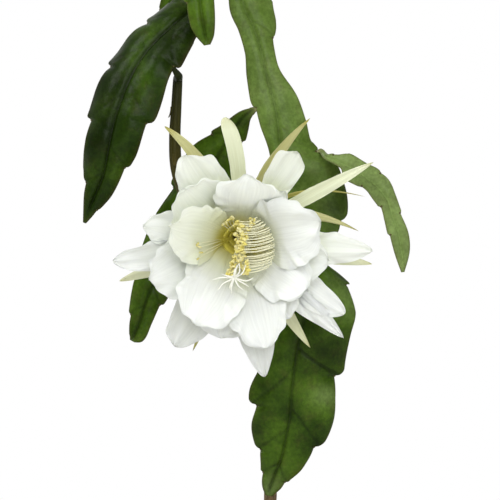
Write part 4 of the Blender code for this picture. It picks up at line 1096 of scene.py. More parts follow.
def waxy_epidermis(settings):
    """Skin of a living flat stem, under a thin wax: deep green mottled with olive, a satin gloss
    over fine leathery grain, painted shade in its sunk veins, in its darker zones and over the
    oldest blade, a pale painted sheen in its paler zones, and a thin horny edge. The grain, about
    0.1 mm, is drawn 2.4 mm wide so that it shows."""
    made, tree, shader = new_material("waxy_epidermis", 0.4, Specular_IOR_Level=0.08)
    spot = add(tree, "ShaderNodeTexCoord", out="Object")
    cloud = add(tree, "ShaderNodeTexNoise", {"Scale": 1 / 0.024, "Detail": 5, "Roughness": 0.6},
                {"Vector": spot})
    stain = add(tree, "ShaderNodeTexNoise", {"Scale": 1 / 0.009, "Detail": 6, "Roughness": 0.68},
                {"Vector": spot})
    grain = add(tree, "ShaderNodeTexNoise", {"Scale": 1 / 0.0024, "Detail": 4, "Roughness": 0.62},
                {"Vector": spot})
    marks = {name: add(tree, "ShaderNodeAttribute", attribute_name=name, out="Fac")
             for name in ("youth", "vein", "rim", "shade", "scar")}
    patchy = add(tree, "ShaderNodeMapRange", {1: 0.3, 2: 0.7, 3: -0.08, 4: 0.16}, {0: cloud})
    fresh = add(tree, "ShaderNodeMath", links={0: marks["youth"], 1: patchy}, operation="ADD",
                use_clamp=True)
    stops = [(0, settings.old_green), (1, settings.new_green), (0.3, settings.mid_green)]
    green = add(tree, "ShaderNodeValToRGB", links={0: fresh}, stops=stops)
    worn = add(tree, "ShaderNodeMapRange", {1: 0.5, 2: 0.75, 4: 0.3}, {0: stain})
    mottled = add(tree, "ShaderNodeMix", {7: settings.margin}, {0: worn, 6: green}, data_type="RGBA", out=2)
    # Painted sheen: where the shade mark is below 0 the skin is mixed towards the sheen colour, up to 0.3.
    salts_and_painted_sheen = add(tree, "ShaderNodeMapRange", {2: -1, 4: 0.3}, {0: marks["shade"]})
    with_painted_sheen = add(tree, "ShaderNodeMix", {7: settings.painted_sheen_colour}, {0: salts_and_painted_sheen, 6: mottled}, data_type="RGBA", out=2)
    fine = add(tree, "ShaderNodeMapRange", {1: 0.3, 2: 0.7, 3: 0.78, 4: 1.2}, {0: grain})
    broad = add(tree, "ShaderNodeMapRange", {1: 0.3, 2: 0.7, 3: 0.8, 4: 1.2}, {0: cloud})
    # Painted shade in the sunk veins and the midrib's groove, down to 0.5; a negative mark on the youngest
    # blade makes the veins paler.
    painted_groove_shade = add(tree, "ShaderNodeMapRange", {1: -1, 3: 1.5, 4: 0.5}, {0: marks["vein"]})
    # Painted shade: where the shade mark is above 0 the colour is darkened, down to 0.3 at 1.
    painted_shade = add(tree, "ShaderNodeMapRange", {3: 1, 4: 0.3}, {0: marks["shade"]})
    # The colour is multiplied by the grain, the cloud, the painted shade in the grooves and the painted
    # shade.
    depth = fine
    for layer in (broad, painted_groove_shade, painted_shade):
        depth = add(tree, "ShaderNodeMath", links={0: depth, 1: layer}, operation="MULTIPLY")
    body = add(tree, "ShaderNodeVectorMath", links={0: with_painted_sheen, 3: depth}, operation="SCALE")
    horny = add(tree, "ShaderNodeMath", {1: 0.42}, {0: marks["rim"]}, operation="MULTIPLY", use_clamp=True)
    edged = add(tree, "ShaderNodeMix", {7: settings.margin}, {0: horny, 6: body},
                data_type="RGBA", out=2)
    healed = add(tree, "ShaderNodeMath", {1: 0.5}, {0: marks["scar"]}, operation="MULTIPLY")
    colour = add(tree, "ShaderNodeMix", {7: settings.cork}, {0: healed, 6: edged}, data_type="RGBA", out=2)
    gloss = add(tree, "ShaderNodeMapRange", {1: 0.3, 2: 0.7, 3: 0.2, 4: 0.3}, {0: cloud})
    tree.links.new(gloss, shader.inputs["Roughness"])
    coat(tree, shader, colour, grain, 0.6, 0.0003)
    return made


def make_cladodes(settings):
    """Every flat stem, with its felted cushions."""
    prepare_cladodes()
    finish = waxy_epidermis(settings)
    for name, spec in CLADODES.items():
        mesh = mesh_of(name + "_skin", [blade_skin(spec, settings)] + felt_skins(spec))
        dress(name + "_skin", name, "cladode", mesh, finish)


# The bloom, in its own frame: along its axis (h), and out from it (r) at a clock angle that
# is 0 at the top and grows to the right as it is seen from the front.


FORWARD = Vector((math.sin(FACING_RIGHT) * math.cos(NODDING),
                  -math.cos(FACING_RIGHT) * math.cos(NODDING), -math.sin(NODDING)))
RIGHT = UP.cross(FORWARD).normalized()
BLOOM_UP = FORWARD.cross(RIGHT).normalized()
ORIGIN = place(*THROAT)


def in_bloom(x, y, h):
    """A point given right, up and forward from the throat, in metres."""
    return ORIGIN + RIGHT * x + BLOOM_UP * y + FORWARD * h


# Each row: clock angle, length, half-width, opening at the foot and at the tip in degrees,
# cupping (0 flat to 1 deep), how pointed and how square the tip is, how far the rim rolls back,
# its tone, and how far its tip sweeps clockwise. For a petal the tone is 1 for cream, 0 for white
# and -1 for white darkened with painted shade, and for a tepal 0 is ivory and 1 gold. Lengths
# are in mm. A foot is the radius and height at which a layer starts.
INNER_PETALS = [
    (-69, 72, 22.5, 24, 48, 0.9, 0, 0, 0.4, 0.9, 0),
    (6, 66, 24, 31, 50, 0.85, 0, 0.6, 0.6, 0.2, 0),
    (68, 74, 26, 25, 50, 0.9, 0, 0, 1, -0.25, 0),
    (120, 66, 22, 27, 56, 0.8, 0.1, 0, 0.2, 0, 0),
    (165, 80, 22, 28, 66, 0.5, 0, 0, 0.1, -0.25, 0),
    (-146, 75, 25, 24, 58, 0.6, 0, 0, 0.1, 0, 0),
]
SECOND_PETALS = [
    (-42, 68, 27, 34, 58, 0.8, 0, 0.3, 0.1, 0.5, 0),
    (34, 54, 22, 36, 58, 0.8, 0, 0, 0.1, 0.2, 0),
    (96, 68, 21, 32, 62, 0.7, 0.1, 0, 0.3, 0.1, 0),
    (145, 65, 21, 33, 66, 0.6, 0.1, 0, 0.1, -0.1, 0),
    (-168, 69, 22, 34, 72, 0.5, 0, 0, 0.1, -0.2, 0),
    (-108, 73, 24, 32, 66, 0.6, 0, 0, 0.2, -0.5, 0),
]
MIDDLE_PETALS = [
    (-28, 78, 17, 41, 72, 0.7, 0, 0.2, 0.3, 0.6, -3),
    (29, 78, 11, 40, 76, 0.9, 0, 1, 0.2, 0.75, 0),
    (91, 91, 12, 40, 88, 0.4, 0.4, 0, 0.1, 0.4, 0),
    (123, 86, 12, 40, 86, 0.5, 0.25, 0, 0.1, 0, 0),
    (131, 93, 9, 42, 86, 0.5, 0.7, 0, 0.1, 0, 0),
    (169, 92, 14, 40, 84, 0.5, 0.5, 0, 0.2, -0.7, 0),
    (-147, 81, 15, 40, 86, 0.3, 0, 0.3, 0.1, -1, 0),
    (-96, 87, 12, 40, 86, 0.5, 0.4, 0, 0.2, -0.6, 0),
    (-72, 66, 16, 40, 80, 0.5, 0.2, 0, 0.2, 0.1, -6),
]
OUTER_TEPALS = [
    (-22, 86, 4.8, 56, 92, 0.8, 0.5, 0, 0, 0.75, -17),
    (1, 82, 5.8, 54, 84, 0.8, 0, 0.8, 0, 0.12, -12),
    (19, 91, 4.6, 54, 90, 0.8, 0.7, 0, 0, 0.8, 16),
    (56, 101, 5.2, 56, 90, 0.8, 0.7, 0, 0, 0.15, 4),
    (41, 70, 1.5, 64, 96, 0.4, 0.5, 0, 0, 1.3, 44),
    (61, 67, 4.8, 58, 98, 0.6, 0.8, 0, 0, 0.75, 34),
    (100, 88, 5.4, 58, 94, 0.5, 0.7, 0, 0, 0.3, 0),
    (146, 84, 5, 56, 94, 0.8, 0.8, 0, 0, 0.4, 0),
    (-159, 76, 3.2, 58, 96, 0.5, 0.9, 0, 0, 0.8, 0),
    (-109, 80, 5.4, 56, 92, 0.6, 0.6, 0, 0, 0.3, 0),
]
PETAL_LAYERS = ((INNER_PETALS, (7.0, 2.5)), (SECOND_PETALS, (7.8, 3.0)), (MIDDLE_PETALS, (8.8, 4.0)))
TEPAL_FOOT = (10.2, -4.0)
LINE_STEPS = 60
PETAL_GRID = (56, 31)
TEPAL_GRID = (40, 13)
RING_SEGMENTS = 48
MARGIN_WAVES = (4, 7, 11, 17)
RUFFLE_WAVES = (6, 10, 15, 24)
PLEAT_WAVES = (1.6, 3.4, 6.5)
MARGIN_UNEVEN = 0.016
TIP_POINT = 0.02
KEEL_DEPTH = 0.3 * MM
TEPAL_FOOT_HALF = 3.6


def tepal_width(s, half, pointed, square):
    """The half-width at s along a tepal: a narrow foot, a broad body and a round or keen tip."""
    foot = min(1, TEPAL_FOOT_HALF / half)
    foot += (1 - foot) * math.sin(min(1, s / (0.62 + 0.3 * square)) * math.pi / 2) ** 1.4
    start = 0.55 + 0.25 * square
    past = max(0, (s - start) / (1 - start))
    tip = math.sqrt(max(0, 1 - past ** (2.6 + 3 * square))) * (1 - pointed) + (1 - past**1.5) * pointed
    return half * foot * max(tip, 0.02)


def tepal_line(spec, foot):
    """The radius, height and lean along the middle of a tepal, from its foot to past its tip."""
    length, open_foot, open_tip = spec[1], spec[3], spec[4]
    radius, height = foot
    line = [(radius, height, math.radians(open_foot))]
    for k in range(1, LINE_STEPS + 5):
        lean = math.radians(open_foot + (open_tip - open_foot) * (k / LINE_STEPS) ** 0.75)
        radius += math.sin(lean) * length / LINE_STEPS
        height += math.cos(lean) * length / LINE_STEPS
        line.append((radius, height, lean))
    return line


def tepal_point(spec, line, s, x):
    """The middle of a tepal and its normal at s along and x mm across."""
    clock, _, half, _, _, cup = spec[:6]
    sweep = spec[-1] * max(0, s) ** 3
    angle = math.radians(clock)
    across = Vector((math.cos(angle), -math.sin(angle)))
    out = Vector((math.sin(angle), math.cos(angle)))
    at = min(s * LINE_STEPS, len(line) - 1.001)
    low = int(at)
    radius, height, lean = (a + (b - a) * (at - low) for a, b in zip(line[low], line[low + 1]))
    # The radius of the petal's cross-section: tighter the more it is cupped.
    bend = max(radius * 1.05, half * (2.6 - 1.5 * cup) * (0.6 + s))
    turn = x / bend
    side, rise = bend * math.sin(turn), bend * (1 - math.cos(turn))
    spot = out * (radius - rise * math.cos(lean)) + across * (side + sweep)
    point = in_bloom(spot.x * MM, spot.y * MM, (height + rise * math.sin(lean)) * MM)
    tilt = out * -math.cos(lean) * math.cos(turn) - across * math.sin(turn)
    normal = RIGHT * tilt.x + BLOOM_UP * tilt.y + FORWARD * math.sin(lean) * math.cos(turn)
    return point, normal.normalized()


def waves_at(waves, angle):
    """The sum of a few waves round a margin, each of (count, phase, share)."""
    return sum(share * math.sin(count * angle + phase) for count, phase, share in waves)


def tepal_skin(spec, foot, grid, look, rng):
    """The closed skin of one petal or tepal: pleated along its length, thin, uneven and ruffled
    at its margin, with its rim rolled back."""
    length, half, pointed, square, roll, tone = spec[1], spec[2], *spec[6:10]
    rows, columns = grid
    ruffle, curl, thickness = look
    line = tepal_line(spec, foot)
    uneven, ruffles, pleats = (
        [(count, rng.uniform(0, TAU), rng.uniform(least, 1)) for count in counts]
        for counts, least in ((MARGIN_WAVES, 0.4), (RUFFLE_WAVES, 0.3), (PLEAT_WAVES, 0.4))
    )
    number = rng.uniform(0, 9)
    waist = 0.45 * length
    rings = []
    marks = {"along": [], "across": [], "tone": [], "petal": []}
    for i in range(rows):
        # Rows crowd together towards the tip, and columns towards the margins.
        s = 1 - (1 - i / (rows - 1)) ** 1.5
        width = tepal_width(s, half, pointed, square)
        front, back, sides = [], [], []
        for k in range(columns):
            v = math.sin(math.pi * (k / (columns - 1) - 0.5))
            angle = math.atan2(v * width, s * length - waist)
            opened = eased((s - 0.22) / 0.4)
            drawn_out = TIP_POINT * math.exp(-((angle / 0.09) ** 2))
            grown_by = 1 + (MARGIN_UNEVEN * waves_at(uneven, angle) + drawn_out) * opened
            x, y = v * width * grown_by, waist + (s * length - waist) * grown_by
            point, normal = tepal_point(spec, line, max(0, y / length), x)
            edge = min(width * (1 - abs(v)), length * (1 - s))
            # Ruffles at the margin, pleats along the body, a rolled rim, and a keel at the foot.
            lift = ruffle * math.exp(-edge / (0.28 * half)) * waves_at(ruffles, angle)
            lift += 0.7 * ruffle * s * waves_at(pleats, v) - curl * roll * math.exp(-edge / 2.2)
            lift = lift * opened - KEEL_DEPTH * math.exp(-((v * width / 1.6) ** 2)) * (1 - s)
            thick = thickness * (0.5 - 0.33 * math.exp(-edge / 2.5)) * (1 - 0.35 * s)
            front.append(point + normal * (lift + thick))
            back.append(point + normal * (lift - thick))
            sides.append(v * half)
        ends = [(front[k] + back[k]) / 2 + (front[k] - front[k - n]).normalized() * 0.06 * MM
                for k, n in ((columns - 1, 1), (0, -1))]
        rings.append(front + [ends[0]] + back[::-1] + [ends[1]])
        marks["along"] += [s] * len(rings[-1])
        marks["across"] += sides + [half] + sides[::-1] + [-half]
        marks["tone"] += [tone] * len(rings[-1])
        marks["petal"] += [number] * len(rings[-1])
    return loft(rings, marks)


def ring_skin(profile, segments, marks):
    """A ring turned round the bloom's axis from a closed profile in mm of (radius, height)."""
    points, loops = [], []
    for radius, height in profile:
        loops.append(list(range(len(points), len(points) + segments)))
        for k in range(segments):
            angle = TAU * k / segments
            x, y = radius * math.cos(angle) * MM, radius * math.sin(angle) * MM
            points.append(in_bloom(x, y, height * MM))
    spread = {key: [value] * len(points) for key, value in marks.items()}
    return points, bands(loops + loops[:1]), spread


def streaks(tree, spacing):
    """Uneven lengthwise streaks about this many mm apart, from a tepal's own marks."""
    across = add(tree, "ShaderNodeAttribute", attribute_name="across", out="Fac")
    share = add(tree, "ShaderNodeAttribute", attribute_name="along", out="Fac")
    number = add(tree, "ShaderNodeAttribute", attribute_name="petal", out="Fac")
    lane = add(tree, "ShaderNodeMath", {1: 1 / spacing}, {0: across}, operation="MULTIPLY")
    run = add(tree, "ShaderNodeMath", {1: 2.2}, {0: share}, operation="MULTIPLY")
    spot = add(tree, "ShaderNodeCombineXYZ", links={0: lane, 1: run, 2: number})
    return add(tree, "ShaderNodeTexNoise", {"Scale": 1, "Detail": 3, "Roughness": 0.55},
               {"Vector": spot})


def petal_tissue(settings):
    """A living petal: thin, moist cells that let light through, silky, with faint veins; yellow
    in the throat, then cream, then white, darkened with painted shade where its tone is below 0. Its
    veins, about 0.7 mm apart, are drawn 1.3 mm apart."""
    made, tree, shader = new_material("petal_tissue", 0.55, Specular_IOR_Level=0.3, Subsurface_Weight=0.5,
                                      Subsurface_Scale=0.003, Subsurface_Radius=(1, 1, 0.8))
    spot = add(tree, "ShaderNodeTexCoord", out="Object")
    cloud = add(tree, "ShaderNodeTexNoise", {"Scale": 1 / 0.014, "Detail": 3}, {"Vector": spot})
    share = add(tree, "ShaderNodeAttribute", attribute_name="along", out="Fac")
    tone = add(tree, "ShaderNodeAttribute", attribute_name="tone", out="Fac")
    streak = streaks(tree, 1.3)
    uneven = add(tree, "ShaderNodeMath", {1: 0.14, 2: -0.07}, {0: cloud}, operation="MULTIPLY_ADD")
    start = add(tree, "ShaderNodeMapRange", {3: 0.14, 4: -0.1}, {0: tone})
    shifted = add(tree, "ShaderNodeMath", links={0: share, 1: start}, operation="ADD")
    at = add(tree, "ShaderNodeMath", links={0: shifted, 1: uneven}, operation="ADD")
    mellow = tuple(0.45 * a + 0.55 * b for a, b in zip(settings.throat, settings.cream))
    stops = [(0.19, settings.throat), (1.0, settings.white), (0.35, mellow), (0.5, settings.cream),
             (0.72, settings.white)]
    ramp = add(tree, "ShaderNodeValToRGB", links={0: at}, stops=stops)
    past_throat = add(tree, "ShaderNodeMapRange", {1: 0.12, 2: 0.42, 4: 0.7}, {0: share},
                      interpolation_type="SMOOTHSTEP")
    faint = add(tree, "ShaderNodeMath", links={0: tone, 1: past_throat}, operation="MULTIPLY",
                use_clamp=True)
    # Painted shade: a petal whose tone is below 0 is darkened, to 0.72 at -1.
    painted_petal_shade = add(tree, "ShaderNodeMapRange", {1: -1, 2: 0, 3: 0.72}, {0: tone})
    toned = add(tree, "ShaderNodeMix", {7: settings.cream}, {0: faint, 6: ramp}, data_type="RGBA", out=2)
    veined = add(tree, "ShaderNodeMapRange", {1: 0.3, 2: 0.7, 3: 0.92, 4: 1.01}, {0: streak})
    lit = add(tree, "ShaderNodeMath", links={0: veined, 1: painted_petal_shade}, operation="MULTIPLY")
    colour = add(tree, "ShaderNodeVectorMath", links={0: toned, 3: lit}, operation="SCALE")
    coat(tree, shader, colour, streak, 0.7, 0.0004)
    return made


def tepal_tissue(settings):
    """An outer tepal: thicker and leathery, green-gold at its foot and tip and in lengthwise
    streaks that fade outwards. The streaks are drawn 0.8 mm apart so that they show."""
    made, tree, shader = new_material("tepal_tissue", 0.5, Specular_IOR_Level=0.35)
    share = add(tree, "ShaderNodeAttribute", attribute_name="along", out="Fac")
    tone = add(tree, "ShaderNodeAttribute", attribute_name="tone", out="Fac")
    streak = streaks(tree, 0.8)
    lanes = add(tree, "ShaderNodeMapRange", {1: 0.35, 2: 0.65, 3: -0.2, 4: 0.2}, {0: streak})
    fade = add(tree, "ShaderNodeMapRange", {1: 0.3, 2: 0.9, 3: 1, 4: 0}, {0: share})
    band = add(tree, "ShaderNodeMath", links={0: lanes, 1: fade}, operation="MULTIPLY")
    green_foot = add(tree, "ShaderNodeMapRange", {2: 0.45, 3: 0.45, 4: 0}, {0: share})
    ripe_tip = add(tree, "ShaderNodeMapRange", {1: 0.9, 4: 0.3}, {0: share})
    first = add(tree, "ShaderNodeMath", links={0: tone, 1: band}, operation="ADD")
    second = add(tree, "ShaderNodeMath", links={0: first, 1: green_foot}, operation="ADD")
    amount = add(tree, "ShaderNodeMath", links={0: second, 1: ripe_tip}, operation="ADD", use_clamp=True)
    colour = add(tree, "ShaderNodeMix", {6: settings.tepal_pale, 7: settings.tepal_gold},
                 {0: amount}, data_type="RGBA", out=2)
    coat(tree, shader, colour, band, 0.5, 0.0003)
    return made


def make_petals(settings):
    """The white petals in three layers, on the funnel that they grow from."""
    rng = random.Random(3)
    funnel = [(5.6, 0.4), (9.0, 0.4), (10.6, 4), (11.2, 9), (10.4, 10.5), (8.8, 9.5), (7.0, 5.5),
              (5.8, 2.5)]
    skins = [ring_skin(funnel, RING_SEGMENTS, {"along": 0.05, "across": 0, "tone": 0.6, "petal": 0})]
    look = (settings.ruffle, settings.roll, settings.petal)
    for specs, foot in PETAL_LAYERS:
        skins += [tepal_skin(spec, foot, PETAL_GRID, look, rng) for spec in specs]
    dress("bloom_petals", "petals", "petal", mesh_of("bloom_petals", skins), petal_tissue(settings))


def make_tepals(settings):
    """The narrow outer tepals on their collar."""
    rng = random.Random(9)
    collar = [(9.0, -8), (10.2, -7.6), (10.8, -6), (11.4, -1.5), (9.0, -1.5)]
    skins = [ring_skin(collar, RING_SEGMENTS, {"along": 0.0, "across": 0, "tone": 0.6, "petal": 0})]
    look = (settings.ruffle * 0.3, 0, settings.petal * 1.1)
    skins += [tepal_skin(spec, TEPAL_FOOT, TEPAL_GRID, look, rng) for spec in OUTER_TEPALS]
    mesh = mesh_of("bloom_tepals", skins)
    dress("bloom_tepals", "outer_tepals", "tepal", mesh, tepal_tissue(settings))


# The tube that carries the bloom, from the notch in the left cladode to the throat. Each row
# is a place and a radius in mm, the mouth's rows are (height, radius) in the bloom's frame, and
# the bore's (radius, height) run back into it from there.


TUBE_ROWS = [(-50.5, 119, -70, 3.4), (-51.5, 100, -69, 3.7), (-52.5, 78, -70, 4.1),
             (-51, 56, -71, 4.3), (-43, 35, -66, 4.6), (-29, 21, -61, 4.9), (-15, 16, -62, 5.3)]
TUBE_NOTCH = 5.9
TUBE_MOUTH = [(-30, 6.2), (-16, 7.6), (-9, 8.6), (0, 8.6)]
TUBE_BORE = [(8.2, 0.3), (7.2, 0.4), (6.0, 0.1), (5.2, -0.8), (3.6, -5), (2.1, -10), (1.6, -19.4)]
TUBE_RINGS = 260
TUBE_SIDES = 40
BRACT_COUNT = 8
BRACT_ROWS = 15
BRACT_TURN = 2.4
BRACTS_FROM = 2.9
BRACTS_OVER = 5.8


def tube_rows():
    """The tube's rows in metres: out of the notch, down, and forward into the throat."""
    start, out = margin_start("cladode_left", "right", TUBE_NOTCH + 0.08, -0.6)
    near = start + out * 4 * MM + Vector((0, 1, -2)) * MM
    rows = [(*(start - out * 1.5 * MM), 1.5 * MM), (*near, 2.8 * MM)]
    rows += [(*place(*row[:3]), row[3] * MM) for row in TUBE_ROWS]
    return rows + [(*in_bloom(0, 0, h * MM), radius * MM) for h, radius in TUBE_MOUTH]


def bract_skin(rows, t, angle, length):
    """A small pointed scale that lies along the tube."""
    found = along(rows, t)
    heading = heading_of(rows, t)
    side = heading.cross(UP if abs(heading.z) < 0.9 else FRONT).normalized()
    out = side * math.cos(angle) + heading.cross(side) * math.sin(angle)
    across = heading.cross(out).normalized()
    foot = Vector(found[:3]) + out * found[3] * 0.8
    rings = []
    marks = {"along": [], "bract": []}
    for i in range(BRACT_ROWS):
        s = i / (BRACT_ROWS - 1)
        half = 2.0 * math.sqrt(max(0, 1 - s**1.6)) * (0.75 + 0.5 * s) + 0.12
        centre = foot + heading * length * s + out * (0.9 * MM + length * 0.2 * s**2.4)
        front, back = [], []
        for k in range(9):
            v = k / 4 - 1
            point = centre + across * v * half * MM - out * v * v * 0.6 * MM
            thick = 0.45 * MM * (1 - 0.5 * s) * (1 - 0.6 * abs(v) ** 3)
            front.append(point + out * thick)
            back.append(point - out * thick * 0.6)
        rings.append(front + back[::-1])
        marks["along"] += [t / (len(rows) - 1)] * len(rings[-1])
        marks["bract"] += [0.25 + 0.75 * s] * len(rings[-1])
    return loft(rings, marks)


def floral_tube_skin(settings):
    """Skin of the floral tube: fleshy and satin, dark olive above, bronzed below and towards
    its scales' tips."""
    made, tree, shader = new_material("floral_tube_skin", 0.5, Specular_IOR_Level=0.12)
    spot = add(tree, "ShaderNodeTexCoord", out="Object")
    streak = add(tree, "ShaderNodeMapping", {"Scale": (1, 1, 0.15)}, {0: spot})
    grain = add(tree, "ShaderNodeTexNoise", {"Scale": 1 / 0.0014, "Detail": 4}, {"Vector": streak})
    share = add(tree, "ShaderNodeAttribute", attribute_name="along", out="Fac")
    bract = add(tree, "ShaderNodeAttribute", attribute_name="bract", out="Fac")
    low = add(tree, "ShaderNodeMapRange", {1: 0.1, 2: 0.75}, {0: share})
    ripe = add(tree, "ShaderNodeMath", {1: 0.35}, {0: bract, 2: low}, operation="MULTIPLY_ADD",
               use_clamp=True)
    skin = add(tree, "ShaderNodeMix", {6: settings.tube_dark, 7: settings.tube_bronze}, {0: ripe},
               data_type="RGBA", out=2)
    lit = add(tree, "ShaderNodeMapRange", {1: 0.3, 2: 0.7, 3: 0.75, 4: 1.25}, {0: grain})
    outside = add(tree, "ShaderNodeVectorMath", links={0: skin, 3: lit}, operation="SCALE")
    mouth = add(tree, "ShaderNodeMapRange", {1: 0.985, 2: 0.999}, {0: share})
    colour = add(tree, "ShaderNodeMix", {7: settings.bore}, {0: mouth, 6: outside}, data_type="RGBA", out=2)
    coat(tree, shader, colour, grain, 0.35, 0.0003)
    return made


def make_tube(settings):
    """The floral tube, faintly ribbed, with its scales and the hollow where the style stands."""
    rows = tube_rows()
    centres, radii, shares = sampled(rows, TUBE_RINGS)

    def ribs(i, angle):
        twist = 2.6 * shares[i]
        return 1 + 0.045 * math.cos(5 * angle + twist) + 0.02 * math.cos(9 * angle - 2 * twist)

    marks = {"along": shares, "bract": [0] * len(shares)}
    skins = [round_skin(centres, radii, TUBE_SIDES, marks, ribs, TUBE_BORE)]
    rng = random.Random(7)
    for k in range(BRACT_COUNT):
        t = BRACTS_FROM + BRACTS_OVER * (k + 0.4 * rng.random()) / BRACT_COUNT
        skins.append(bract_skin(rows, t, k * BRACT_TURN, (7 + 5 * rng.random()) * MM))
    mesh = mesh_of("bloom_tube", skins)
    dress("bloom_tube", "floral_tube", "tube", mesh, floral_tube_skin(settings))


# Stamens: curved threads that leave a sleeve, each with an anther on its free end. A bank of
# them lies along the right of the throat, more crowd down its middle between the two ends of
# HEART, and a few lean on the petals. Places are right, up and forward of the throat, in mm. The
# sleeve's profile of (radius, height) is a cone that closes the throat round the style.


HEART = ((7, 20, 38), (-8, -16, 47))
STAMEN_SLEEVE = [(1.5, -6), (2.2, -6.2), (4.0, -1.5), (5.4, 1.0), (6.3, 4.2), (5.9, 4.9), (4.6, 3.6),
                 (3.2, 0)]
THREAD_FOOT = (4.8, 3.4)
THREAD_POINTS = 16
ANTHER_LENGTH = 3.5 * MM
ANTHER_ROWS = 9
ANTHER_SIDES = 12


def thread_start(clock):
    """The way out from the axis at a clock angle, and the foot of a thread on the sleeve there."""
    out = Vector((math.sin(clock), math.cos(clock), 0))
    return out, out * THREAD_FOOT[0] + UP * THREAD_FOOT[1]


def bank_stamen(k, count, rng):
    """The places along one stamen in the right-hand bank: out along the wall, then left again
    in a shallow hanging bow."""
    share = (k + 0.5) / count
    clock = math.radians(26 + 100 * share + rng.uniform(-2, 2))
    row = k % 3
    reach = 24.5 - 2 * share - 1.4 * row + rng.uniform(-0.5, 0.5)
    rise = 38 - 3 * row + 5 * share
    out, foot = thread_start(clock)
    sweep = 12 + 8 * math.sin(math.pi * share) + 2 * share + rng.uniform(-1.5, 1.5)
    crest = out * reach + UP * rise
    bow = crest + Vector((-0.5 * sweep, -2.6, 3.5))
    tip = crest + Vector((-sweep, -1.5 - 2 * share, 6))
    return [foot, out * reach * 0.62 + UP * rise * 0.5, crest, bow, tip]


def heart_stamen(k, count, rng):
    """The places along one of the stamens whose anthers crowd down the middle of the throat."""
    share = (k + rng.random()) / count
    out, foot = thread_start(math.radians(rng.uniform(25, 200)))
    tip = Vector(HEART[0]).lerp(Vector(HEART[1]), share)
    tip += Vector((rng.uniform(-2.2, 2.2), rng.uniform(-1.5, 1.5), rng.uniform(-3, 3)))
    bow = (out * THREAD_FOOT[0] + tip) / 2 + out * 5
    return [foot, Vector((bow.x, bow.y, tip.z * 0.55)), tip]


def loose_stamen(k, count, rng):
    """The places along one stamen that leans outwards over the petals."""
    near = k % 2
    clock = math.radians(258 + 62 * near + 26 * k / count + rng.uniform(-4, 4))
    reach = 26 - 6 * near + 4 * rng.random()
    rise = 38 - 3 * near + 4 * rng.random()
    out, foot = thread_start(clock)
    return [foot, out * reach * 0.54 + UP * rise * 0.5, out * reach + UP * rise]


def thread_mesh(paths):
    """The middle lines of all the threads, as edges."""
    points, edges = [], []
    for places in paths:
        rows = [tuple(in_bloom(*(p * MM))) for p in places]
        start = len(points)
        last = THREAD_POINTS - 1
        for i in range(THREAD_POINTS):
            points.append(tuple(along(rows, i * (len(rows) - 1) / last)))
        edges += [(start + i, start + i + 1) for i in range(last)]
    mesh = bpy.data.meshes.new("threads")
    mesh.from_pydata(points, edges, [])
    return mesh


def anther_mesh():
    """One anther: two long pollen sacs side by side on the thread's end."""
    rings = []
    for i in range(ANTHER_ROWS):
        s = i / (ANTHER_ROWS - 1)
        width = 1.15 * math.sin(math.pi * (0.06 + 0.88 * s)) ** 0.55
        middle = UP * (s - 0.3) * ANTHER_LENGTH
        ring = []
        for k in range(ANTHER_SIDES):
            angle = TAU * k / ANTHER_SIDES
            waist = 0.72 + 0.28 * abs(math.cos(angle))
            out = Vector((math.cos(angle) * waist * 1.25, math.sin(angle) * waist * 0.8, 0))
            ring.append(middle + out * width * MM)
        rings.append(ring)
    return mesh_of("anther", [loft(rings, {})])


def stamen_tree():
    """A tree that makes each line a tapering thread and sets an anther on its free end."""
    inputs = [("Thread radius", "Float"), ("Anther", "Object"), ("Sleeve", "Object"), ("Seed", "Int"),
              ("Thread finish", "Material"), ("Anther finish", "Material")]
    tree, given = new_tree("stamen_bank", inputs)
    curve = add(tree, "GeometryNodeMeshToCurve", links={0: given["Geometry"]})
    share = add(tree, "GeometryNodeSplineParameter", out="Factor")
    curve = add(tree, "GeometryNodeStoreNamedAttribute", {"Name": "along"},
                {"Geometry": curve, "Value": share})
    taper = add(tree, "ShaderNodeMapRange", {3: 1.25, 4: 0.7}, {0: share})
    ring = add(tree, "GeometryNodeCurvePrimitiveCircle", {"Resolution": 7},
               {"Radius": given["Thread radius"]})
    thread = add(tree, "GeometryNodeCurveToMesh", {"Fill Caps": True},
                 {"Curve": curve, "Profile Curve": ring, "Scale": taper})
    sleeve = add(tree, "GeometryNodeObjectInfo", links={0: given["Sleeve"]}, out="Geometry")
    pale = add(tree, "GeometryNodeJoinGeometry", links={0: thread})
    tree.links.new(sleeve, pale.node.inputs[0])
    pale = add(tree, "GeometryNodeSetMaterial", links={0: pale, "Material": given["Thread finish"]})
    free_end = add(tree, "GeometryNodeCurveEndpointSelection", {"Start Size": 0, "End Size": 1})
    ahead = add(tree, "GeometryNodeInputTangent")
    turn = add(tree, "FunctionNodeAlignRotationToVector", links={"Vector": ahead}, axis="Z")
    turn = spun(tree, turn, given["Seed"])
    size = add(tree, "FunctionNodeRandomValue", {2: 0.8, 3: 1.15}, {8: given["Seed"]}, out=1)
    shape = add(tree, "GeometryNodeObjectInfo", links={0: given["Anther"]}, out="Geometry")
    anthers = add(tree, "GeometryNodeInstanceOnPoints", links={
        "Points": curve, "Selection": free_end, "Instance": shape, "Rotation": turn, "Scale": size})
    real = add(tree, "GeometryNodeRealizeInstances", links={0: anthers})
    real = add(tree, "GeometryNodeSetMaterial", links={0: real, "Material": given["Anther finish"]})
    joined = add(tree, "GeometryNodeJoinGeometry", links={0: pale})
    tree.links.new(real, joined.node.inputs[0])
    tree.links.new(joined, tree.nodes.new("NodeGroupOutput").inputs[0])
    return tree


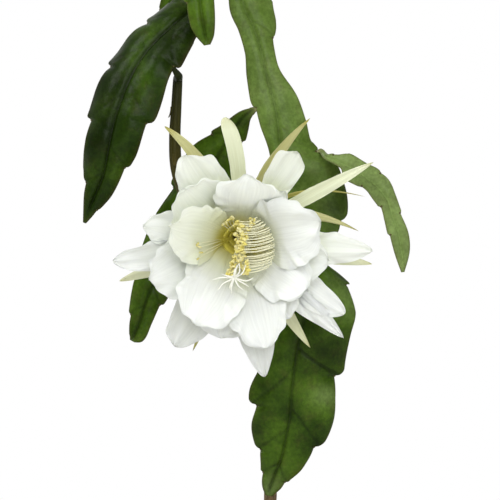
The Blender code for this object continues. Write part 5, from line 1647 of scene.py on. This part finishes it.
def filament_tissue(settings):
    """A stamen's thread: moist and smooth, green-yellow at its foot and pale further out."""
    made, tree, shader = new_material("filament_tissue", 0.45, Specular_IOR_Level=0.2)
    spot = add(tree, "ShaderNodeTexCoord", out="Object")
    cloud = add(tree, "ShaderNodeTexNoise", {"Scale": 1 / 0.006}, {"Vector": spot})
    lit = add(tree, "ShaderNodeMapRange", {1: 0.3, 2: 0.7, 3: 0.9, 4: 1.04}, {0: cloud})
    share = add(tree, "ShaderNodeAttribute", attribute_name="along", out="Fac")
    ripe = add(tree, "ShaderNodeMapRange", {1: 0.25, 2: 0.6}, {0: share}, interpolation_type="SMOOTHSTEP")
    skin = add(tree, "ShaderNodeMix", {6: settings.throat, 7: settings.filament}, {0: ripe},
               data_type="RGBA", out=2)
    colour = add(tree, "ShaderNodeVectorMath", links={0: skin, 3: lit}, operation="SCALE")
    tree.links.new(colour, shader.inputs["Base Color"])
    return made


def pollen_coat(settings):
    """Anthers dusted with pollen: matt, grainy and golden. Its grains, under 0.1 mm, are drawn
    0.4 mm wide so that they show."""
    made, tree, shader = new_material("pollen", 0.95, Specular_IOR_Level=0.15)
    spot = add(tree, "ShaderNodeTexCoord", out="Object")
    grain = add(tree, "ShaderNodeTexNoise", {"Scale": 1 / 0.0004, "Detail": 2}, {"Vector": spot})
    cloud = add(tree, "ShaderNodeTexNoise", {"Scale": 1 / 0.004}, {"Vector": spot})
    pale = tuple(0.45 * c + 0.55 * f for c, f in zip(settings.pollen, settings.filament))
    ripe = add(tree, "ShaderNodeMapRange", {1: 0.38, 2: 0.62}, {0: cloud})
    skin = add(tree, "ShaderNodeMix", {6: pale, 7: settings.pollen}, {0: ripe}, data_type="RGBA", out=2)
    lit = add(tree, "ShaderNodeMapRange", {1: 0.3, 2: 0.7, 3: 0.8, 4: 1.15}, {0: grain})
    colour = add(tree, "ShaderNodeVectorMath", links={0: skin, 3: lit}, operation="SCALE")
    coat(tree, shader, colour, grain, 0.9, 0.0002)
    return made


def make_stamens(settings):
    """All the stamens on their sleeve: the bank, those down the middle and the loose ones."""
    rng = random.Random(11)
    paths = [bank_stamen(k, settings.bank, rng) for k in range(settings.bank)]
    paths += [heart_stamen(k, settings.heart, rng) for k in range(settings.heart)]
    paths += [loose_stamen(k, settings.loose, rng) for k in range(settings.loose)]
    anther = bpy.data.objects.new("anther", anther_mesh())
    sleeve = bpy.data.objects.new("sleeve", mesh_of("sleeve", [ring_skin(STAMEN_SLEEVE, 32, {})]))
    values = {"Thread radius": settings.thread, "Anther": anther, "Sleeve": sleeve, "Seed": 2,
              "Thread finish": filament_tissue(settings), "Anther finish": pollen_coat(settings)}
    mesh = grown(thread_mesh(paths), stamen_tree(), values)
    bpy.data.objects.remove(anther)
    bpy.data.objects.remove(sleeve)
    mesh.shade_smooth()
    dress("bloom_stamens", "stamens", "stamen", mesh)


# The style stands in the tube's bore, leans low in the throat and ends in a star of lobes.


STYLE_ROWS = [(0, 0, -19.6), (0, 0, -8), (0, 0, 8), (-1.5, -4.5, 26), (-3.5, -11, 42), (-5, -16.5, 53)]
STYLE_RADIUS = 1.1 * MM
STYLE_RINGS, STYLE_SIDES = 70, 16
STIGMA_LOBES = 11
LOBE_RINGS, LOBE_SIDES = 20, 10
STIGMA_LENGTH = 14 * MM


def stigma_tissue(settings):
    """Style and stigma: waxy white, with a fine sticky down on the lobes, under 0.2 mm and drawn
    0.6 mm wide so that it shows."""
    made, tree, shader = new_material("stigma_tissue", 0.45, Specular_IOR_Level=0.3)
    spot = add(tree, "ShaderNodeTexCoord", out="Object")
    down = add(tree, "ShaderNodeTexNoise", {"Scale": 1 / 0.0006, "Detail": 2}, {"Vector": spot})
    lit = add(tree, "ShaderNodeMapRange", {1: 0.3, 2: 0.7, 3: 0.92, 4: 1.03}, {0: down})
    colour = add(tree, "ShaderNodeVectorMath", {0: settings.style[:3]}, {3: lit}, operation="SCALE")
    coat(tree, shader, colour, down, 0.5, 0.0002)
    return made


def make_style(settings):
    """The style and its star of stigma lobes."""
    rows = [(*in_bloom(*(Vector(p) * MM)), STYLE_RADIUS) for p in STYLE_ROWS]
    centres, radii, _ = sampled(rows, STYLE_RINGS)
    skins = [round_skin(centres, radii, STYLE_SIDES, {})]
    tip, heading = centres[-1], heading_of(rows, len(rows) - 1.05)
    side = heading.orthogonal().normalized()
    third = heading.cross(side)
    rng = random.Random(6)
    for k in range(STIGMA_LOBES):
        angle = TAU * (k + rng.uniform(-0.4, 0.4)) / STIGMA_LOBES
        out = side * math.cos(angle) + third * math.sin(angle)
        twist = heading.cross(out) * rng.uniform(-0.5, 0.5)
        reach = STIGMA_LENGTH * rng.uniform(0.7, 1.2)
        rise = rng.uniform(-2, 6) * MM
        places = [(*(tip - heading * 1.5 * MM), 0.6 * MM),
                  (*(tip + out * 2.6 * MM + heading * 1.8 * MM), 0.55 * MM),
                  (*(tip + (out + twist * 0.3) * reach * 0.55 + heading * 3.2 * MM), 0.45 * MM),
                  (*(tip + (out + twist) * reach * 0.85 + heading * rise), 0.22 * MM)]
        points, sizes, _ = sampled(places, LOBE_RINGS)
        skins.append(round_skin(points, sizes, LOBE_SIDES, {}))
    dress("bloom_style", "style", "style", mesh_of("bloom_style", skins), stigma_tissue(settings))


# Stage


FLOOR_RADIUS = 30
# How far out the floor starts to fade, and where it has turned as white as the backdrop.
FLOOR_FADE = (0.5, 1.9)
# Each light: its place, its size, and the setting that gives its power.
LIGHTS = {
    "key_softbox": ((-1.15, -0.95, 1.75), 0.9, "key"),
    "front_softbox": ((0.2, -2.5, 1.45), 1.6, "front"),
    "side_softbox": ((1.5, -1.9, 0.7), 0.8, "side"),
}
AIM = Vector((0, -0.08, 0.40))


def seamless_paper(settings):
    """Matt seamless paper that catches a soft shadow near the pot and fades into the backdrop."""
    made, tree, shader = new_material("seamless_paper", 0.9, Specular_IOR_Level=0.1)
    shader.inputs["Base Color"].default_value = settings.floor
    spot = add(tree, "ShaderNodeTexCoord", out="Object")
    reach = add(tree, "ShaderNodeVectorMath", links={0: spot}, operation="LENGTH", out="Value")
    far = add(tree, "ShaderNodeMapRange", {1: FLOOR_FADE[0], 2: FLOOR_FADE[1]}, {0: reach},
              interpolation_type="SMOOTHSTEP")
    glow = add(tree, "ShaderNodeEmission")
    mixed = add(tree, "ShaderNodeMixShader", links={0: far, 1: shader.outputs[0], 2: glow})
    tree.links.new(mixed, tree.nodes["Material Output"].inputs["Surface"])
    return made


def hang_lights(settings):
    """The softboxes, each turned towards the middle of the plant."""
    for name, (spot, size, power) in LIGHTS.items():
        light = bpy.data.lights.new(name, "AREA")
        light.size = size
        light.energy = getattr(settings, power)
        lamp = new_object(name, light)
        lamp.location = spot
        lamp.rotation_euler = (AIM - Vector(spot)).to_track_quat("-Z", "Y").to_euler()


def studio_room(settings):
    """The room's light, stronger from above and from the back, behind a plain white backdrop."""
    world = bpy.data.worlds.new("studio")
    world.use_nodes = True
    tree = world.node_tree
    room = tree.nodes["Background"]
    room.inputs["Color"].default_value = WHITE
    way = add(tree, "ShaderNodeTexCoord", out="Generated")
    parts = add(tree, "ShaderNodeSeparateXYZ", links={0: way}).node.outputs
    high = add(tree, "ShaderNodeMapRange", {1: -1, 2: 0.6, 3: 0.45}, {0: parts["Z"]})
    behind = add(tree, "ShaderNodeMapRange", {1: -0.95, 2: 0.1, 3: 0.2}, {0: parts["Y"]})
    dim = add(tree, "ShaderNodeMath", links={0: high, 1: behind}, operation="MULTIPLY")
    strength = add(tree, "ShaderNodeMath", {1: settings.sky}, {0: dim}, operation="MULTIPLY")
    tree.links.new(strength, room.inputs["Strength"])
    seen = add(tree, "ShaderNodeBackground", {"Color": WHITE})
    straight = add(tree, "ShaderNodeLightPath", out="Is Camera Ray")
    mixed = add(tree, "ShaderNodeMixShader", links={0: straight, 1: room.outputs[0], 2: seen})
    tree.links.new(mixed, tree.nodes["World Output"].inputs["Surface"])
    return world


def make_stage(settings):
    """Floor, backdrop, soft light and the camera at the photograph's viewing angle."""
    scene = bpy.context.scene
    points, faces, _ = turned_skin([(0, 0), (0.6, 0), (1.2, 0), (FLOOR_RADIUS, 0)], 96)
    mesh = bpy.data.meshes.new("studio_floor")
    mesh.from_pydata([tuple(p) for p in points], [], faces)
    mesh.materials.append(seamless_paper(settings))
    floor = new_object("studio_floor", mesh)
    hang_lights(settings)
    scene.world = studio_room(settings)
    scene.view_settings.view_transform = "Standard"
    lens = bpy.data.cameras.new("camera")
    lens.lens = LENS
    lens.sensor_width = SENSOR
    lens.clip_end = 60
    camera = new_object("camera", lens)
    camera.location = EYE
    camera.rotation_euler = (math.pi / 2, 0, 0)
    scene.camera = camera


# Operators, panel and registration


class PLANT_OT_pot(bpy.types.Operator):
    """Turn the clay pot"""

    bl_idname = "plant.pot"
    bl_label = "Clay pot"

    def execute(self, context):
        make_pot(context.scene.plant_pot)
        return {"FINISHED"}


class PLANT_OT_compost(bpy.types.Operator):
    """Fill the pot with compost and bark chips"""

    bl_idname = "plant.compost"
    bl_label = "Compost"

    def execute(self, context):
        make_compost(context.scene.plant_pot)
        return {"FINISHED"}


class PLANT_OT_canes(bpy.types.Operator):
    """Grow the two woody canes"""

    bl_idname = "plant.canes"
    bl_label = "Canes"

    def execute(self, context):
        make_canes(context.scene.plant_stems)
        return {"FINISHED"}


class PLANT_OT_cladodes(bpy.types.Operator):
    """Grow the flat, notched stems"""

    bl_idname = "plant.cladodes"
    bl_label = "Flat stems"

    def execute(self, context):
        make_cladodes(context.scene.plant_stems)
        return {"FINISHED"}


class PLANT_OT_tube(bpy.types.Operator):
    """Grow the floral tube and its scales"""

    bl_idname = "plant.tube"
    bl_label = "Floral tube"

    def execute(self, context):
        make_tube(context.scene.plant_bloom)
        return {"FINISHED"}


class PLANT_OT_petals(bpy.types.Operator):
    """Open the white petals"""

    bl_idname = "plant.petals"
    bl_label = "Petals"

    def execute(self, context):
        make_petals(context.scene.plant_bloom)
        return {"FINISHED"}


class PLANT_OT_tepals(bpy.types.Operator):
    """Spread the narrow outer tepals"""

    bl_idname = "plant.tepals"
    bl_label = "Outer tepals"

    def execute(self, context):
        make_tepals(context.scene.plant_bloom)
        return {"FINISHED"}


class PLANT_OT_stamens(bpy.types.Operator):
    """Set the stamens in the throat"""

    bl_idname = "plant.stamens"
    bl_label = "Stamens"

    def execute(self, context):
        make_stamens(context.scene.plant_bloom)
        return {"FINISHED"}


class PLANT_OT_style(bpy.types.Operator):
    """Set the style and its stigma lobes"""

    bl_idname = "plant.style"
    bl_label = "Style"

    def execute(self, context):
        make_style(context.scene.plant_bloom)
        return {"FINISHED"}


class PLANT_OT_stage(bpy.types.Operator):
    """Lay the floor, set the lights and place the camera"""

    bl_idname = "plant.stage"
    bl_label = "Stage"

    def execute(self, context):
        make_stage(context.scene.plant_stage)
        return {"FINISHED"}


STEPS = (PLANT_OT_pot, PLANT_OT_compost, PLANT_OT_canes, PLANT_OT_cladodes, PLANT_OT_tube,
         PLANT_OT_petals, PLANT_OT_tepals, PLANT_OT_stamens, PLANT_OT_style, PLANT_OT_stage)
GROUPS = {"plant_pot": PLANT_PG_pot, "plant_stems": PLANT_PG_stems, "plant_bloom": PLANT_PG_bloom,
          "plant_stage": PLANT_PG_stage}


class PLANT_PT_panel(bpy.types.Panel):
    """Settings and steps of the potted plant"""

    bl_label = "Potted queen of the night"
    bl_idname = "PLANT_PT_panel"
    bl_space_type = "VIEW_3D"
    bl_region_type = "UI"
    bl_category = "Plant"

    def draw(self, context):
        for group, kind in GROUPS.items():
            box = self.layout.box()
            box.label(text=kind.__doc__)
            for setting in kind.__annotations__:
                box.prop(getattr(context.scene, group), setting)
        for step in STEPS:
            self.layout.operator(step.bl_idname)


def register():
    """Add the settings, the steps and the panel to Blender."""
    for kind in (*GROUPS.values(), *STEPS, PLANT_PT_panel):
        bpy.utils.register_class(kind)
    for group, kind in GROUPS.items():
        setattr(bpy.types.Scene, group, bpy.props.PointerProperty(type=kind))


def unregister():
    """Take the panel, the steps and the settings out of Blender."""
    for group in GROUPS:
        delattr(bpy.types.Scene, group)
    for kind in (PLANT_PT_panel, *reversed(STEPS), *GROUPS.values()):
        bpy.utils.unregister_class(kind)


def main():
    """Make every piece in order."""
    register()
    bpy.ops.plant.pot()
    bpy.ops.plant.compost()
    bpy.ops.plant.canes()
    bpy.ops.plant.cladodes()
    bpy.ops.plant.tube()
    bpy.ops.plant.petals()
    bpy.ops.plant.tepals()
    bpy.ops.plant.stamens()
    bpy.ops.plant.style()
    bpy.ops.plant.stage()


if __name__ == "__main__":
    main()
